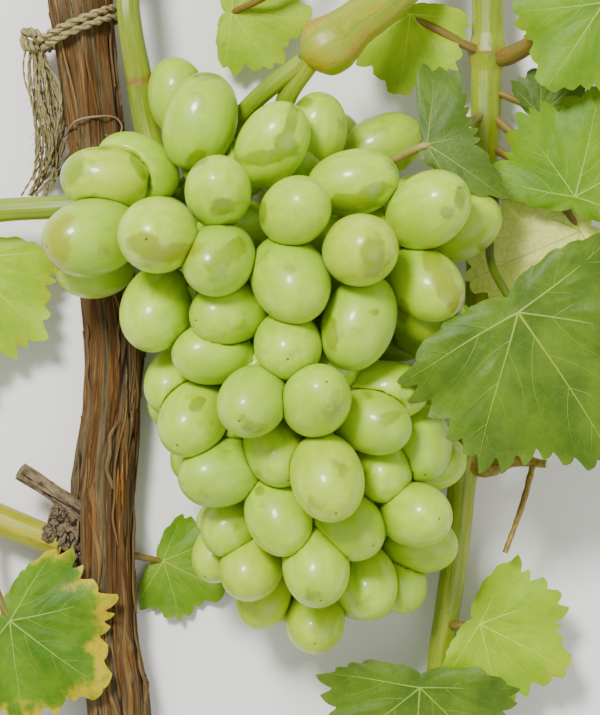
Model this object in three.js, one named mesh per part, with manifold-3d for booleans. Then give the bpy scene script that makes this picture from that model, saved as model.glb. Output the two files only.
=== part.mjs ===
// A cut length of grapevine with its ripe bunch, laid on the ground: x to the right, y along the trunk, z up.
import * as THREE from "three";
import { mergeVertices } from "three/addons/utils/BufferGeometryUtils.js";
import Module from "manifold-3d";

const wasm = await Module();
wasm.setup();

// Driving dimensions, in millimetres. Plan places are as an eye EYE_HEIGHT up sees them on the bunch's face.
const EYE_HEIGHT = 960;
const FACE_HEIGHT = 60;
const GAP = 0.3;
const TRUNK_RADIUS = 9.6;
const BERRY_LENGTH_TO_WIDTH = 1.38;
const BERRY_WIDTH = 20;
const RING_SPACING = 20;
const UPPER_SHARE = 0.68;
const PEDICEL_RADIUS = 1.2;
const LEAF_THICKNESS = 1.1;
const ROPE_RADIUS = 2;

const BARK = { color: 0x6e4a35, roughness: 0.9 };
const GREEN_CANE = { color: 0x9aa650, roughness: 0.5 };
const BERRY_SKIN = { color: 0xb9cd78, roughness: 0.4 };
const TWINE = { color: 0x9a8f7c, roughness: 0.95 };
const DARK_LEAF = { color: 0x46732a, roughness: 0.6 };
const BRIGHT_LEAF = { color: 0x9cbf3c, roughness: 0.6 };

// The bunch's long section, shoulder to tip: y, middle x, half width and half depth of the berry centres.
const BUNCH_SECTIONS = [
  [78, -16, 28, 14],
  [56, -10, 58, 24],
  [36, -8, 62, 28],
  [16, -2, 50, 28],
  [-5, -3, 42, 27],
  [-25, 1, 40, 25],
  [-45, 5, 36, 22],
  [-62, 6, 29, 17],
  [-79, 4, 14, 8],
];

// The berries of the bunch's face: x, y, width, the way the free end points in plan and its lift in degrees,
// and the height over (or under) the bunch's smooth face.
const FACE_BERRIES = [
  [-30, 70.6, 22.5, 75, 0, 0],
  [-8.4, 63.8, 20.7, 58, 20, 1],
  [4.8, 67.3, 18.6, 80, 15, -9],
  [15.9, 52.4, 20.4, 10, 8, -4],
  [-24.6, 49.6, 20.1, 90, 68, 6],
  [-1.5, 43.9, 20.4, 35, 66, 6],
  [-58.5, 53.5, 19.8, 174, 0, -2],
  [-62.4, 36.1, 23.7, 194, 35, 0],
  [-42.6, 36.8, 23.1, 215, 78, 8],
  [-24.3, 29.5, 21, 228, 62, 1],
  [-3, 23.6, 23.1, 296, 46, -2],
  [18, 32.2, 21.9, 10, 78, 6],
  [38.4, 44.2, 22.2, 34, 44, 4],
  [48.6, 38.9, 19.2, 32, 15, -10],
  [37.5, 22.1, 21, 318, 44, -3],
  [-42.9, 14.8, 22.2, 255, 44, -5],
  [-21, 13.7, 19.8, 195, 40, -8],
  [-3.6, 3.8, 20.4, 270, 72, -5],
  [17.7, 10.7, 22.2, 250, 15, -4],
  [-26.1, 1.1, 18.6, 182, 22, -8],
  [-31.8, -18.1, 21, 240, 50, -4],
  [-14.1, -13, 20.4, 236, 60, 3],
  [4.8, -13, 20.4, 62, 62, 4],
  [21.3, -19.3, 19.5, 340, 34, -4],
  [26.4, -9.8, 18, 355, 10, -9],
  [35.4, -25.3, 20.4, 280, 45, -10],
  [-23.4, -34.4, 20.7, 195, 30, -4],
  [-7.5, -27.8, 18.6, 295, 40, -9],
  [8.1, -35.9, 22.2, 284, 46, 6],
  [-6.6, -47.2, 19.8, 290, 30, -4],
  [14.1, -49.9, 20.4, 322, 45, -6],
  [34.5, -47.2, 20.1, 355, 60, 2],
  [-14.4, -62.8, 19.2, 240, 60, -4],
  [4.8, -62.5, 20.7, 278, 46, 3],
  [20.1, -67.3, 18.6, 280, 36, -6],
  [4.5, -78.8, 18.6, 270, 60, -8],
];

// The berries that look out between those of the face, in the same form.
const SECOND_BERRIES = [
  [-36.6, 77.8, 18.6, 100, 10, -10],
  [-48.6, 56.9, 19.8, 150, 10, -13],
  [38.1, 13, 18.6, 345, 30, -12],
  [-61.5, 26.8, 18.6, 185, 30, -14],
  [-37.8, -6.8, 17.4, 245, 40, -12],
  [25.2, -33.1, 18, 270, 50, -10],
  [-20.4, -48.8, 18.6, 245, 40, -12],
  [35.4, -55.5, 18.6, 350, 20, -14],
  [30, -66.8, 16.8, 285, 40, -10],
  [-10.8, -71.8, 16.8, 250, 40, -10],
  [-24.2, -58.2, 16.2, 240, 40, -12],
];

const part = new THREE.Group();

// A place seen at x, y on the bunch's face, moved out along the line of sight to its own height.
function spot(x, y, z) {
  const spread = (EYE_HEIGHT - z) / (EYE_HEIGHT - FACE_HEIGHT);
  return new THREE.Vector3(x * spread, y * spread, z);
}

// A repeatable share from 0 to 1 for the draw of this number.
function share(draw) {
  const wave = Math.sin(draw * 12.9898) * 43758.5453;
  return wave - Math.floor(wave);
}

// The geometry with its shared corners merged and the slivers that this leaves dropped.
function bare(geometry) {
  geometry.deleteAttribute("normal");
  geometry.deleteAttribute("uv");
  const merged = mergeVertices(geometry, 1e-4);
  const corners = merged.index.array;
  const kept = [];
  for (let i = 0; i < corners.length; i += 3) {
    const [a, b, c] = corners.slice(i, i + 3);
    if (a !== b && b !== c && c !== a) kept.push(a, b, c);
  }
  merged.setIndex(kept);
  return merged;
}

function solidOf(geometry) {
  const closed = bare(geometry);
  return new wasm.Manifold(
    new wasm.Mesh({
      numProp: 3,
      vertProperties: closed.attributes.position.array,
      triVerts: new Uint32Array(closed.index.array),
    }),
  );
}

function geometryOf(solid) {
  const mesh = solid.getMesh();
  const geometry = new THREE.BufferGeometry();
  geometry.setAttribute("position", new THREE.BufferAttribute(mesh.vertProperties, 3));
  geometry.setIndex(new THREE.BufferAttribute(mesh.triVerts, 1));
  return geometry;
}

function addNode(name, solid, material) {
  const geometry = geometryOf(solid);
  geometry.computeVertexNormals();
  const mesh = new THREE.Mesh(geometry, new THREE.MeshStandardMaterial({ metalness: 0, ...material }));
  mesh.name = name;
  part.add(mesh);
  return solid;
}

// A round limb through points of x, y, z and radius, with flat ends; relief swells it by angle and length.
function limb(points, { sides = 8, steps = 2 * points.length, grow = 0, relief = () => 0 } = {}) {
  const curve = new THREE.CatmullRomCurve3(points.map(([x, y, z]) => spot(x, y, z)));
  const shape = new THREE.CylinderGeometry(1, 1, 1, sides, steps);
  const place = shape.attributes.position;
  const first = curve.getPoint(0);
  const run = curve.getPoint(1).sub(first);
  const up = Math.abs(run.z) > 0.8 * run.length() ? new THREE.Vector3(1, 0, 0) : new THREE.Vector3(0, 0, 1);
  for (let i = 0; i < place.count; i += 1) {
    const along = Math.min(Math.max(place.getY(i) + 0.5, 0), 1);
    const leg = Math.min(Math.floor(along * (points.length - 1)), points.length - 2);
    const within = along * (points.length - 1) - leg;
    const radius = THREE.MathUtils.lerp(points[leg][3], points[leg + 1][3], within);
    const angle = Math.atan2(place.getZ(i), place.getX(i));
    const tangent = curve.getTangent(along);
    const side = up.clone().cross(tangent).normalize();
    const lift = side.clone().cross(tangent);
    const reach = radius * (1 + relief(angle, along)) + grow;
    const point = curve.getPoint(along);
    point.addScaledVector(side, place.getX(i) * reach);
    point.addScaledVector(lift, place.getZ(i) * reach);
    place.setXYZ(i, point.x, point.y, point.z);
  }
  return solidOf(shape);
}

function join(solids) {
  return solids.reduce((whole, next) => whole.add(next));
}

// Bark stands out in long strips that wander slowly round the stem.
function barkStrips(angle, along) {
  return 0.05 * Math.sin(5 * angle + 4 * along) + 0.03 * Math.sin(9 * angle - 11 * along);
}

const TRUNK_LINE = [
  [-53.5, -118, 10.4, TRUNK_RADIUS],
  [-54.8, -101, 10.3, TRUNK_RADIUS * 1.02],
  [-57.2, -82, 10.2, TRUNK_RADIUS * 0.95],
  [-58.5, -53, 10.4, TRUNK_RADIUS],
  [-58.5, -38, 10.6, TRUNK_RADIUS * 1.02],
  [-56.4, -15, 10.6, TRUNK_RADIUS * 0.9],
  [-56, 3, 10.8, TRUNK_RADIUS * 0.96],
  [-58, 22, 11.2, TRUNK_RADIUS * 0.92],
  [-61, 65, 12.4, TRUNK_RADIUS * 0.86],
  [-64.7, 96, 14.6, TRUNK_RADIUS * 0.94],
  [-66, 112, 15.4, TRUNK_RADIUS * 1.04],
  [-62, 132, 16, TRUNK_RADIUS * 1.1],
];
const STUB_LINE = [
  [-71, -56, 12, 4.2],
  [-78, -53.5, 12, 4.6],
  [-92, -48, 11, 5],
  [-108, -42, 9, 4.8],
];
const ARM_LINE = [
  [-64, 122, 16, 9],
  [-40, 132, 17, 8.4],
  [0, 137, 20, 7.8],
  [40, 135, 22, 7.2],
  [64, 131, 22, 6.8],
  [86, 128, 20, 6.4],
];
const FRUITING_LINE = [
  [39, 131, 23, 6.4],
  [34, 116, 34, 6.6],
  [25.8, 107, 43, 6.7],
  [16, 99.5, 50, 7],
  [10, 94.5, 52, 9],
  [5, 91.5, 52, 9.2],
  [1, 89, 51, 6.5],
];
const BACK_SHOOT_LINE = [
  [-51, 131, 17, 3.9],
  [-51.5, 104, 29, 3.6],
  [-48.5, 85, 24, 4],
  [-45.3, 67.3, 22, 3.9],
  [-39, 50, 25, 4],
  [-33, 40, 26, 3.2],
];
const LEFT_SHOOT_LINE = [
  [-38, 49, 25, 3.6],
  [-50, 47.5, 29, 3.4],
  [-61, 46, 30, 3.4],
  [-75, 45, 28, 3.5],
  [-91, 44, 24, 3.6],
  [-112, 40, 18, 3.4],
];
const RIGHT_SHOOT_LINE = [
  [56.5, 132, 17, 4.6],
  [56.5, 107, 15, 5.1],
  [56.5, 97, 14.5, 5.3],
  [56.5, 91.5, 14.5, 6.6],
  [56, 86, 14, 5],
  [55.5, 62, 14, 4.6],
  [54.5, 40, 13.5, 4.5],
  [53.5, 10, 13, 4.4],
  [51, -18, 13, 4.5],
  [49.4, -27.5, 12.5, 6.2],
  [48.4, -38.5, 12, 4.4],
  [46.2, -62, 11, 4.2],
  [42.3, -88.6, 9, 3.9],
  [40, -112, 8, 3.7],
];

// A round joint or scar on a limb.
function knob(x, y, z, width, height, depth) {
  const shape = new THREE.SphereGeometry(1, 6, 4);
  const centre = spot(x, y, z);
  shape.scale(width / 2, height / 2, depth / 2).translate(centre.x, centre.y, centre.z);
  return solidOf(shape);
}

// The woody frame: the trunk, its arm over the top and the pruned spur with its green stub.
function buildWood() {
  const trunkShape = { sides: 12, steps: 18, relief: barkStrips };
  const scar = knob(-49.5, -99.5, 10, 9, 12, 9);
  addNode("trunk", limb(TRUNK_LINE, trunkShape).add(scar), BARK);
  const trunkRoom = limb(TRUNK_LINE, { ...trunkShape, grow: GAP });
  const armShape = { sides: 10, steps: 14, relief: barkStrips };
  addNode("arm", limb(ARM_LINE, armShape).subtract(trunkRoom), BARK);
  const armRoom = limb(ARM_LINE, { ...armShape, grow: GAP });

  const stub = limb([[-60, -50, 12, 4.5], [-69.3, -44, 14, 3.1], [-77, -38.5, 17, 2.4], [-84, -34, 19, 2.7]]);
  const knuckle = knob(-70, -51.5, 12, 11, 18, 12);
  const shoulder = knob(-66.5, -58, 10, 10, 11, 11);
  const spur = join([stub, knuckle, shoulder]).subtract(trunkRoom);
  addNode("spur", spur, BARK);
  const spurRoom = join([
    knob(-70, -51.5, 12, 11.6, 18.6, 12.6),
    knob(-66.5, -58, 10, 10.6, 11.6, 11.6),
  ]);
  addNode("spur_shoot", limb(STUB_LINE).subtract(spurRoom), GREEN_CANE);
  return { trunkRoom, armRoom, stubRoom: limb(STUB_LINE, { grow: GAP }) };
}

// The green canes that spring from the arm, each cut back by the room of the wood that it leaves.
function buildCanes({ trunkRoom, armRoom, stubRoom }) {
  addNode("fruiting_shoot", limb(FRUITING_LINE, { sides: 8, steps: 12 }).subtract(armRoom), GREEN_CANE);
  addNode("back_shoot", limb(BACK_SHOOT_LINE).subtract(armRoom).subtract(trunkRoom), GREEN_CANE);
  const backRoom = limb(BACK_SHOOT_LINE, { grow: GAP });
  addNode("left_shoot", limb(LEFT_SHOOT_LINE).subtract(backRoom).subtract(trunkRoom), GREEN_CANE);
  const sideBranch = [[49, -31, 13, 3.6], [56, -33.2, 16, 3], [64, -31, 20, 2.1], [74, -32, 24, 1.2]];
  const tendril = [[70, -31.6, 22, 1.1], [67, -43, 24, 0.9], [61.5, -58.6, 25, 0.8]];
  const rightCane = limb(RIGHT_SHOOT_LINE, { sides: 6, steps: 20 });
  const rightSide = [limb(sideBranch, { sides: 5, steps: 6 }), limb(tendril, { sides: 4, steps: 4 })];
  addNode("right_shoot", join([rightCane, ...rightSide]).subtract(armRoom), GREEN_CANE);
  return {
    fruiting: limb(FRUITING_LINE, { sides: 8, steps: 12, grow: GAP }),
    back: backRoom,
    left: limb(LEFT_SHOOT_LINE, { grow: GAP }),
    right: limb(RIGHT_SHOOT_LINE, { sides: 6, steps: 20, grow: GAP }),
    arm: armRoom,
    trunk: trunkRoom,
    spurShoot: stubRoom,
  };
}

// A vine leaf's edge: degrees off the middle vein, and reach as a share of that vein's length.
const LEAF_EDGE = [
  [0, 1],
  [24, 0.78],
  [48, 0.85],
  [70, 0.68],
  [94, 0.7],
  [110, 0.46],
  [126, 0.27],
  [155, 0.16],
  [180, 0.1],
];

// Two blades that aren't even: one folded back along its upper side, one drawn in where it lies under others.
const FOLDED_EDGE = [
  [-180, 0.05],
  [-75, 0.25],
  [-52, 0.65],
  [-33, 1],
  [-15, 0.72],
  [0, 0.52],
  [30, 0.5],
  [50, 0.62],
  [70, 0.84],
  [97, 0.86],
  [106, 0.3],
  [125, 0.08],
  [180, 0.05],
];
const SUNLIT_EDGE = [
  [-180, 0.1],
  [-126, 0.2],
  [-94, 0.4],
  [-48, 0.6],
  [-24, 0.8],
  [0, 1],
  [24, 0.78],
  [48, 0.85],
  [70, 0.68],
  [94, 0.7],
  [126, 0.27],
  [180, 0.1],
];

// The leaves: the vein junction, the way the middle vein points, its length, how far the blade is rolled round
// it and pitched up along it in degrees, its cup and droop, the petiole's points and the cane that it leaves.
const LEAVES = [
  {
    name: "shade_leaf", at: [65.4, 13.5, 67], turn: -56, length: 56, roll: 2, pitch: -3,
    cup: 0.05, droop: 0.07,
    petiole: [
      [55.6, 57, 13.8, 1.7], [58.5, 51, 26, 1.4], [57, 36, 30, 1.4],
      [57.5, 28, 44, 1.3], [61.5, 20, 60, 1.3], [66, 12.9, 67, 1.3],
    ],
    cane: "right", skin: DARK_LEAF,
  },
  {
    name: "folded_leaf", at: [38.1, 63.8, 47], turn: 0, length: 29, roll: -8, pitch: 2,
    cup: 0.04, droop: 0.06, edge: FOLDED_EDGE,
    petiole: [[56, 74, 14, 1.4], [47, 68, 30, 1.2], [41, 64, 43, 1.2], [37, 63.4, 47, 1.2], [29, 59.5, 42, 1.2]],
    cane: "right", skin: DARK_LEAF,
  },
  {
    name: "sunlit_leaf", at: [84, 38, 23.5], turn: 205, length: 40, roll: 0, pitch: 0,
    cup: 0.03, droop: 0, edge: SUNLIT_EDGE,
    petiole: [[55.7, 64, 13.9, 1.6], [63, 60, 19, 1.4], [76, 49, 24.5, 1.3], [84.6, 37.4, 23.5, 1.3]],
    cane: "right", skin: BRIGHT_LEAF,
  },
  {
    name: "behind_leaf", at: [72, 73, 17], turn: 40, length: 19, roll: 0, pitch: 2, cup: 0.06, droop: 0.04,
    petiole: [[56, 81, 14.2, 1.5], [64, 77.5, 16, 1.2], [72.7, 73.5, 17, 1.1]],
    cane: "right", skin: DARK_LEAF,
  },
  {
    name: "edge_leaf", at: [82.5, 48.2, 34], turn: 76, length: 36, roll: -3, pitch: 2, cup: 0.05, droop: 0.04,
    petiole: [[55.8, 74, 14, 1.6], [64, 67, 20, 1.4], [74, 57, 27, 1.3], [82.3, 48.8, 34, 1.3]],
    cane: "right", skin: BRIGHT_LEAF,
  },
  {
    name: "top_right_leaf", at: [91.5, 106.6, 47], turn: -125, length: 33, roll: 4, pitch: -4,
    cup: 0.06, droop: 0.06,
    petiole: [[57, 90, 14.5, 3], [62.4, 90.4, 20, 3], [76, 98, 36, 2.4], [92, 106, 47, 1.9]],
    cane: "right", skin: BRIGHT_LEAF,
  },
  {
    name: "top_leaf", at: [33, 103, 21], turn: -98, length: 26.5, roll: 4, pitch: 0, cup: 0.05, droop: 0.02,
    petiole: [[56.5, 92, 14.5, 1.8], [51.6, 92.9, 19, 1.5], [42, 98, 22, 1.35], [32.6, 102.6, 21, 1.3]],
    cane: "right", skin: BRIGHT_LEAF,
  },
  {
    name: "upper_left_leaf", at: [-20.4, 103.6, 13], turn: -5, length: 26, roll: 6, pitch: 0,
    cup: 0.05, droop: 0.06,
    petiole: [[4, 132, 20, 1.5], [0, 121, 25, 1.3], [-9, 109.5, 22, 1.25], [-21, 103.2, 13, 1.2]],
    cane: "arm", skin: BRIGHT_LEAF,
  },
  {
    name: "left_leaf", at: [-101, 30, 15], turn: -92, length: 42, roll: 0, pitch: 2, cup: 0.05, droop: 0.06,
    petiole: [[-96, 43, 22.5, 1.7], [-99, 37, 18, 1.4], [-101, 29.5, 15, 1.4]],
    cane: "left", skin: BRIGHT_LEAF,
  },
  {
    name: "lower_left_leaf", at: [-87, -79, 25], turn: -36, length: 38, roll: 0, pitch: 1,
    cup: 0.06, droop: 0.08,
    petiole: [[-93, -48, 11, 1.7], [-94, -60, 17, 1.5], [-90, -73, 24, 1.4], [-86.5, -79.5, 25, 1.4]],
    cane: "spurShoot", skin: BRIGHT_LEAF,
  },
  {
    name: "trunk_leaf", at: [-41, -61, 3.2], turn: -26, length: 23, roll: 0, pitch: 3, cup: 0.06, droop: 0.02,
    petiole: [[-58, -57, 9, 1.4], [-48.5, -59.6, 6, 1.2], [-40.4, -61.3, 3.2, 1.1]],
    cane: "trunk", skin: BRIGHT_LEAF,
  },
  {
    name: "bottom_leaf", at: [36, -99, 27], turn: -94, length: 42, roll: 0, pitch: -6, cup: 0.06, droop: 0.1,
    petiole: [[40.8, -105, 8, 1.9], [37, -104, 17, 1.7], [36, -98.4, 27, 1.5]],
    cane: "right", skin: DARK_LEAF,
  },
  {
    name: "side_leaf", at: [54, -80, 18], turn: -28, length: 32, roll: 0, pitch: 0, cup: 0.05, droop: 0.04,
    petiole: [[43.8, -80, 9.6, 1.6], [48.5, -80.5, 16, 1.4], [55, -80.5, 18, 1.3]],
    cane: "right", skin: BRIGHT_LEAF,
  },
];

// The edge's reach at an angle off the middle vein: an edge that starts at 0 degrees has two equal sides.
function leafReach(degrees, edge = LEAF_EDGE) {
  const off = edge[0][0] < 0 ? degrees : Math.abs(degrees);
  const k = Math.min(edge.findLastIndex(([at]) => at <= off), edge.length - 2);
  const [from, to] = [edge[k], edge[k + 1]];
  return THREE.MathUtils.lerp(from[1], to[1], (off - from[0]) / (to[0] - from[0]));
}

// A blade: a thin disc drawn out to the leaf's edge, cupped between its veins, drooping and turned.
function blade({ at, turn, length, roll, pitch, cup, droop, edge }) {
  const half = LEAF_THICKNESS / 2;
  const profile = [[0, -half], [0.55, -half], [1, -half], [1, half], [0.55, half], [0, half]];
  const shape = new THREE.LatheGeometry(profile.map(([r, h]) => new THREE.Vector2(r, h)), 20);
  const place = shape.attributes.position;
  const pose = new THREE.Euler(
    THREE.MathUtils.degToRad(roll), THREE.MathUtils.degToRad(-pitch), THREE.MathUtils.degToRad(turn), "ZYX",
  );
  const junction = spot(...at);
  for (let i = 0; i < place.count; i += 1) {
    const [across, height, along] = [place.getX(i), place.getY(i), place.getZ(i)];
    const share = Math.hypot(along, across);
    const angle = Math.atan2(across, along);
    const reach = share * length * leafReach(THREE.MathUtils.radToDeg(angle), edge);
    const rise = length * share ** 2 * (cup * Math.cos(6.9 * angle) - droop) * (reach / length);
    const point = new THREE.Vector3(reach * Math.cos(angle), reach * Math.sin(angle), rise + height);
    point.applyEuler(pose).add(junction);
    place.setXYZ(i, point.x, point.y, point.z);
  }
  return solidOf(shape);
}

function buildLeaves(room) {
  for (const leaf of LEAVES) {
    const stem = limb(leaf.petiole, { sides: 4, steps: leaf.petiole.length + 2 });
    addNode(leaf.name, stem.subtract(room[leaf.cane]).add(blade(leaf)), leaf.skin);
  }
}

// The twine tie: a loop round the head of the trunk, its knot, and the loose hank that hangs from it.
function buildTie() {
  const loop = new THREE.TorusGeometry(12.6, ROPE_RADIUS, 5, 14);
  const centre = spot(-66, 98.5, 15);
  loop.rotateX(Math.PI / 2).scale(1.04, 1, 0.98).rotateZ(0.4).translate(centre.x, centre.y, centre.z);
  const knot = knob(-80.5, 95, 16, 8, 10, 8);
  const hankLine = [[-80, 95, 15, 3.6], [-77.5, 78, 13, 4], [-76.6, 60, 9.6, 3.6], [-80, 47, 6, 2.6]];
  const hank = limb(hankLine, { sides: 6, steps: 6 });
  addNode("tie", join([solidOf(loop), knot, hank]), TWINE);
}

// The bunch's section at a distance along it, between the two nearest given ones.
function sectionAt(y) {
  const last = BUNCH_SECTIONS.length - 1;
  let k = 0;
  while (k < last - 1 && y < BUNCH_SECTIONS[k + 1][0]) k += 1;
  const upper = BUNCH_SECTIONS[k];
  const lower = BUNCH_SECTIONS[k + 1];
  const t = Math.min(Math.max((upper[0] - y) / (upper[0] - lower[0]), 0), 1);
  const [middle, width, depth] = [1, 2, 3].map((c) => THREE.MathUtils.lerp(upper[c], lower[c], t));
  return { middle, width, depth, height: depth + (BERRY_WIDTH * BERRY_LENGTH_TO_WIDTH) / 2 + 1.5 };
}

function faceHeight(x, y) {
  const { middle, width, depth, height } = sectionAt(y);
  return height + depth * Math.sqrt(Math.max(0.1, 1 - ((x - middle) / width) ** 2));
}

function pointing(turn, lift) {
  const [a, b] = [THREE.MathUtils.degToRad(turn), THREE.MathUtils.degToRad(lift)];
  return new THREE.Vector3(Math.cos(a) * Math.cos(b), Math.sin(a) * Math.cos(b), Math.sin(b));
}

function faceBerry([x, y, width, turn, lift, rise]) {
  return { centre: spot(x, y, faceHeight(x, y) + rise), axis: pointing(turn, lift), width };
}

const WING_SPINE = [
  [1, 89, 51, 3], [-8, 82, 48, 2.9], [-17.4, 73, 42, 2.8],
  [-28, 58, 36, 2.4], [-44, 45, 37, 2], [-56, 43, 40, 1.6],
];
const MAIN_SPINE = [
  [3, 89, 51, 3.2], [-4, 78, 46, 3], [-7, 62, 36, 3], [-4, 40, 30, 2.8],
  [-2, 10, 29, 2.6], [1, -20, 27, 2.2], [4, -50, 22, 1.7], [5, -66, 20, 1.2],
];

// The hidden berries: an arc of them round the back of each level of the bunch, and one row inside it.
function hiddenBerries() {
  const berries = [];
  let draw = 1;
  const leftEdge = (y) => (y < 0 ? -37.8 - 0.36 * y : -Infinity);
  const put = (placeX, y, z) => {
    const x = Math.max(placeX, leftEdge(y));
    const overTrunk = x < -40 && z < 36;
    const overCane = (x < -24 && y > 28 && z < 40) || (x > 44 && y > 20);
    const width = BERRY_WIDTH * (0.94 + 0.1 * share(draw));
    if (!overTrunk && !overCane) berries.push({ centre: new THREE.Vector3(x, y, z), width });
    draw += 1;
  };
  for (let y = 66, level = 0; y > -78; y -= RING_SPACING, level += 1) {
    const { middle, width, depth, height } = sectionAt(y);
    const arc = 1.06 * Math.PI * Math.sqrt((width ** 2 + depth ** 2) / 2);
    const count = Math.max(2, Math.round(arc / (BERRY_WIDTH + 1)));
    for (let k = 0; k < count; k += 1) {
      const turn = Math.PI * (1.02 + (0.96 * (k + 0.5 + 0.3 * (level % 2))) / (count + 0.3));
      put(middle + width * Math.cos(turn), y + 3 * share(draw + 0.5), height + depth * Math.sin(turn));
    }
    const row = Math.floor((2 * (width - 18)) / (BERRY_WIDTH + 1));
    for (let k = 0; k < row; k += 1) {
      put(middle + (k + 0.5 - row / 2) * (BERRY_WIDTH + 1), y - 8, height + 5);
    }
  }
  return berries;
}

function reachAlong(berry, direction) {
  const cosine = berry.axis.dot(direction);
  const half = berry.width / 2;
  return half * Math.sqrt(1 + (BERRY_LENGTH_TO_WIDTH ** 2 - 1) * cosine ** 2);
}

// How far from the berry's centre its wall with a neighbour lies, which is "way" from it and "apart".
// The higher of the two keeps its round side, and the lower one is pressed against it.
function wallBetween(berry, other, way, apart) {
  const own = reachAlong(berry, way);
  const theirs = reachAlong(other, way);
  const even = own / (own + theirs);
  if (way.z <= 0) return Math.min(own, apart * Math.min(UPPER_SHARE, even - way.z));
  return apart - Math.min(theirs, apart * Math.min(UPPER_SHARE, 1 - even + way.z));
}

// A berry's ball, drawn out along its axis and pressed flat where its wall with a neighbour lies closer.
function berrySolid(berry, all, around, rings) {
  const shape = new THREE.SphereGeometry(1, around, rings);
  const turned = new THREE.Quaternion().setFromUnitVectors(new THREE.Vector3(0, 1, 0), berry.axis);
  const place = shape.attributes.position;
  const walls = all
    .filter((other) => other !== berry && other.centre.distanceTo(berry.centre) < 1.6 * BERRY_WIDTH)
    .map((other) => {
      const way = other.centre.clone().sub(berry.centre);
      const apart = way.length();
      way.normalize();
      return { way, at: wallBetween(berry, other, way, apart) - GAP / 2 };
    });
  const swell = 1 + 2.2 / (around * rings);
  for (let i = 0; i < place.count; i += 1) {
    const ray = new THREE.Vector3().fromBufferAttribute(place, i);
    ray.multiplyScalar((swell * berry.width) / 2);
    ray.y *= BERRY_LENGTH_TO_WIDTH;
    ray.applyQuaternion(turned);
    const most = walls.reduce((t, { way, at }) => Math.min(t, ray.dot(way) > at ? at / ray.dot(way) : 1), 1);
    ray.multiplyScalar(most).add(berry.centre);
    place.setXYZ(i, ray.x, ray.y, ray.z);
  }
  return solidOf(shape);
}

// The nearest of a spine's points to a berry, along the spine's later part.
function nearestOn(spine, centre) {
  const curve = new THREE.CatmullRomCurve3(spine.map(([x, y, z]) => spot(x, y, z)));
  const points = curve.getPoints(40).slice(14);
  return points.reduce((best, p) => (p.distanceTo(centre) < best.distanceTo(centre) ? p : best));
}

function pedicel(berry, from, grow = 0) {
  const run = berry.centre.clone().sub(from);
  const shape = new THREE.CylinderGeometry(PEDICEL_RADIUS + grow, PEDICEL_RADIUS + grow, run.length(), 3, 1);
  const upright = new THREE.Vector3(0, 1, 0);
  shape.applyQuaternion(new THREE.Quaternion().setFromUnitVectors(upright, run.clone().normalize()));
  const middle = from.clone().addScaledVector(run, 0.5);
  return solidOf(shape.translate(middle.x, middle.y, middle.z));
}

// The bunch: single berries on its face, and two masses of hidden ones on stalks, the wing and the body.
function buildBunch(room) {
  const face = FACE_BERRIES.map(faceBerry);
  const held = [...SECOND_BERRIES.map(faceBerry), ...hiddenBerries()];
  for (const berry of held) {
    berry.spine = berry.centre.x < -26 && berry.centre.y > 12 ? WING_SPINE : MAIN_SPINE;
    berry.root = nearestOn(berry.spine, berry.centre);
    berry.axis = berry.axis ?? berry.centre.clone().sub(berry.root).normalize();
  }
  const all = [...face, ...held];
  const stalks = [WING_SPINE, MAIN_SPINE].map((spine) => {
    const own = held.filter((berry) => berry.spine === spine);
    const stalk = (grow) => limb(spine, { sides: 6, steps: 12, grow });
    const parts = (grow) => join([stalk(grow), ...own.map((b) => pedicel(b, b.root, grow))]);
    return { own, body: parts(0), room: parts(GAP) };
  });
  stalks.forEach((stalk, i) => {
    const others = stalks[1 - i].room;
    const berries = stalk.own.map((berry) => berrySolid(berry, all, 6, 4));
    const mass = join([stalk.body, ...berries]).subtract(join([others, room.fruiting, room.back]));
    const cluster = join(mass.decompose().filter((piece) => piece.volume() > 40));
    addNode(["wing_cluster", "body_cluster"][i], cluster, BERRY_SKIN);
  });
  face.forEach((berry, i) => {
    let skin = berrySolid(berry, all, 8, 7);
    for (const stalk of stalks) {
      if (skin.intersect(stalk.room).volume() > 0) skin = skin.subtract(stalk.room);
    }
    addNode("berry_" + String(i + 1).padStart(2, "0"), skin, BERRY_SKIN);
  });
}

const room = buildCanes(buildWood());
buildBunch(room);
buildLeaves(room);
buildTie();

// The origin is the middle of the footprint, on the ground.
const bounds = new THREE.Box3().setFromObject(part);
const middle = bounds.getCenter(new THREE.Vector3());
part.position.set(-middle.x, -middle.y, -bounds.min.z);

export default part;
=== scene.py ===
"""A cut length of grapevine with its ripe bunch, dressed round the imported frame.

Berries, bark, canes, leaves and twine replace the solids of the same shape.
"""
import math
from dataclasses import dataclass

import bpy
import numpy as np
from mathutils import Euler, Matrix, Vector, noise


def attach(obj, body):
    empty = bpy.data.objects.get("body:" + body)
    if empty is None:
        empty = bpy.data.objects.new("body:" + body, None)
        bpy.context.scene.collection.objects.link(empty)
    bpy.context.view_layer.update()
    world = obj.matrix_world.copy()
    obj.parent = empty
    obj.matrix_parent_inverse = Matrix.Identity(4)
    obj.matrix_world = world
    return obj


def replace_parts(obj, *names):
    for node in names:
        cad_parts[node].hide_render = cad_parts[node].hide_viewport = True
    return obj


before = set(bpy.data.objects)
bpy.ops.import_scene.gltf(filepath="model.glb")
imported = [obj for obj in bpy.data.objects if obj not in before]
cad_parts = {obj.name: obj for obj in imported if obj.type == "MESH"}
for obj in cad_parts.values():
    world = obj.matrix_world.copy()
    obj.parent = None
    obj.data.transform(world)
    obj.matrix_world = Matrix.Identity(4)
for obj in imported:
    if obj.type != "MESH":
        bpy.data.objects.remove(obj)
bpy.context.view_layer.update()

# Sizes are in millimetres, as in the part's source, and turned to metres where a mesh is made.
MM = 0.001
FAR = 1e6
LOWEST = 0.05
PLAN_SHIFT = np.array([11.772, -3.075, 0.091])  # the source's own origin, measured in this frame

# The eye looks straight down, and what it sees is placed as seen at the height of the bunch's face.
EYE_HEIGHT = 960
FACE_HEIGHT = 60
VIEW_TALL = 214.5

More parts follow.
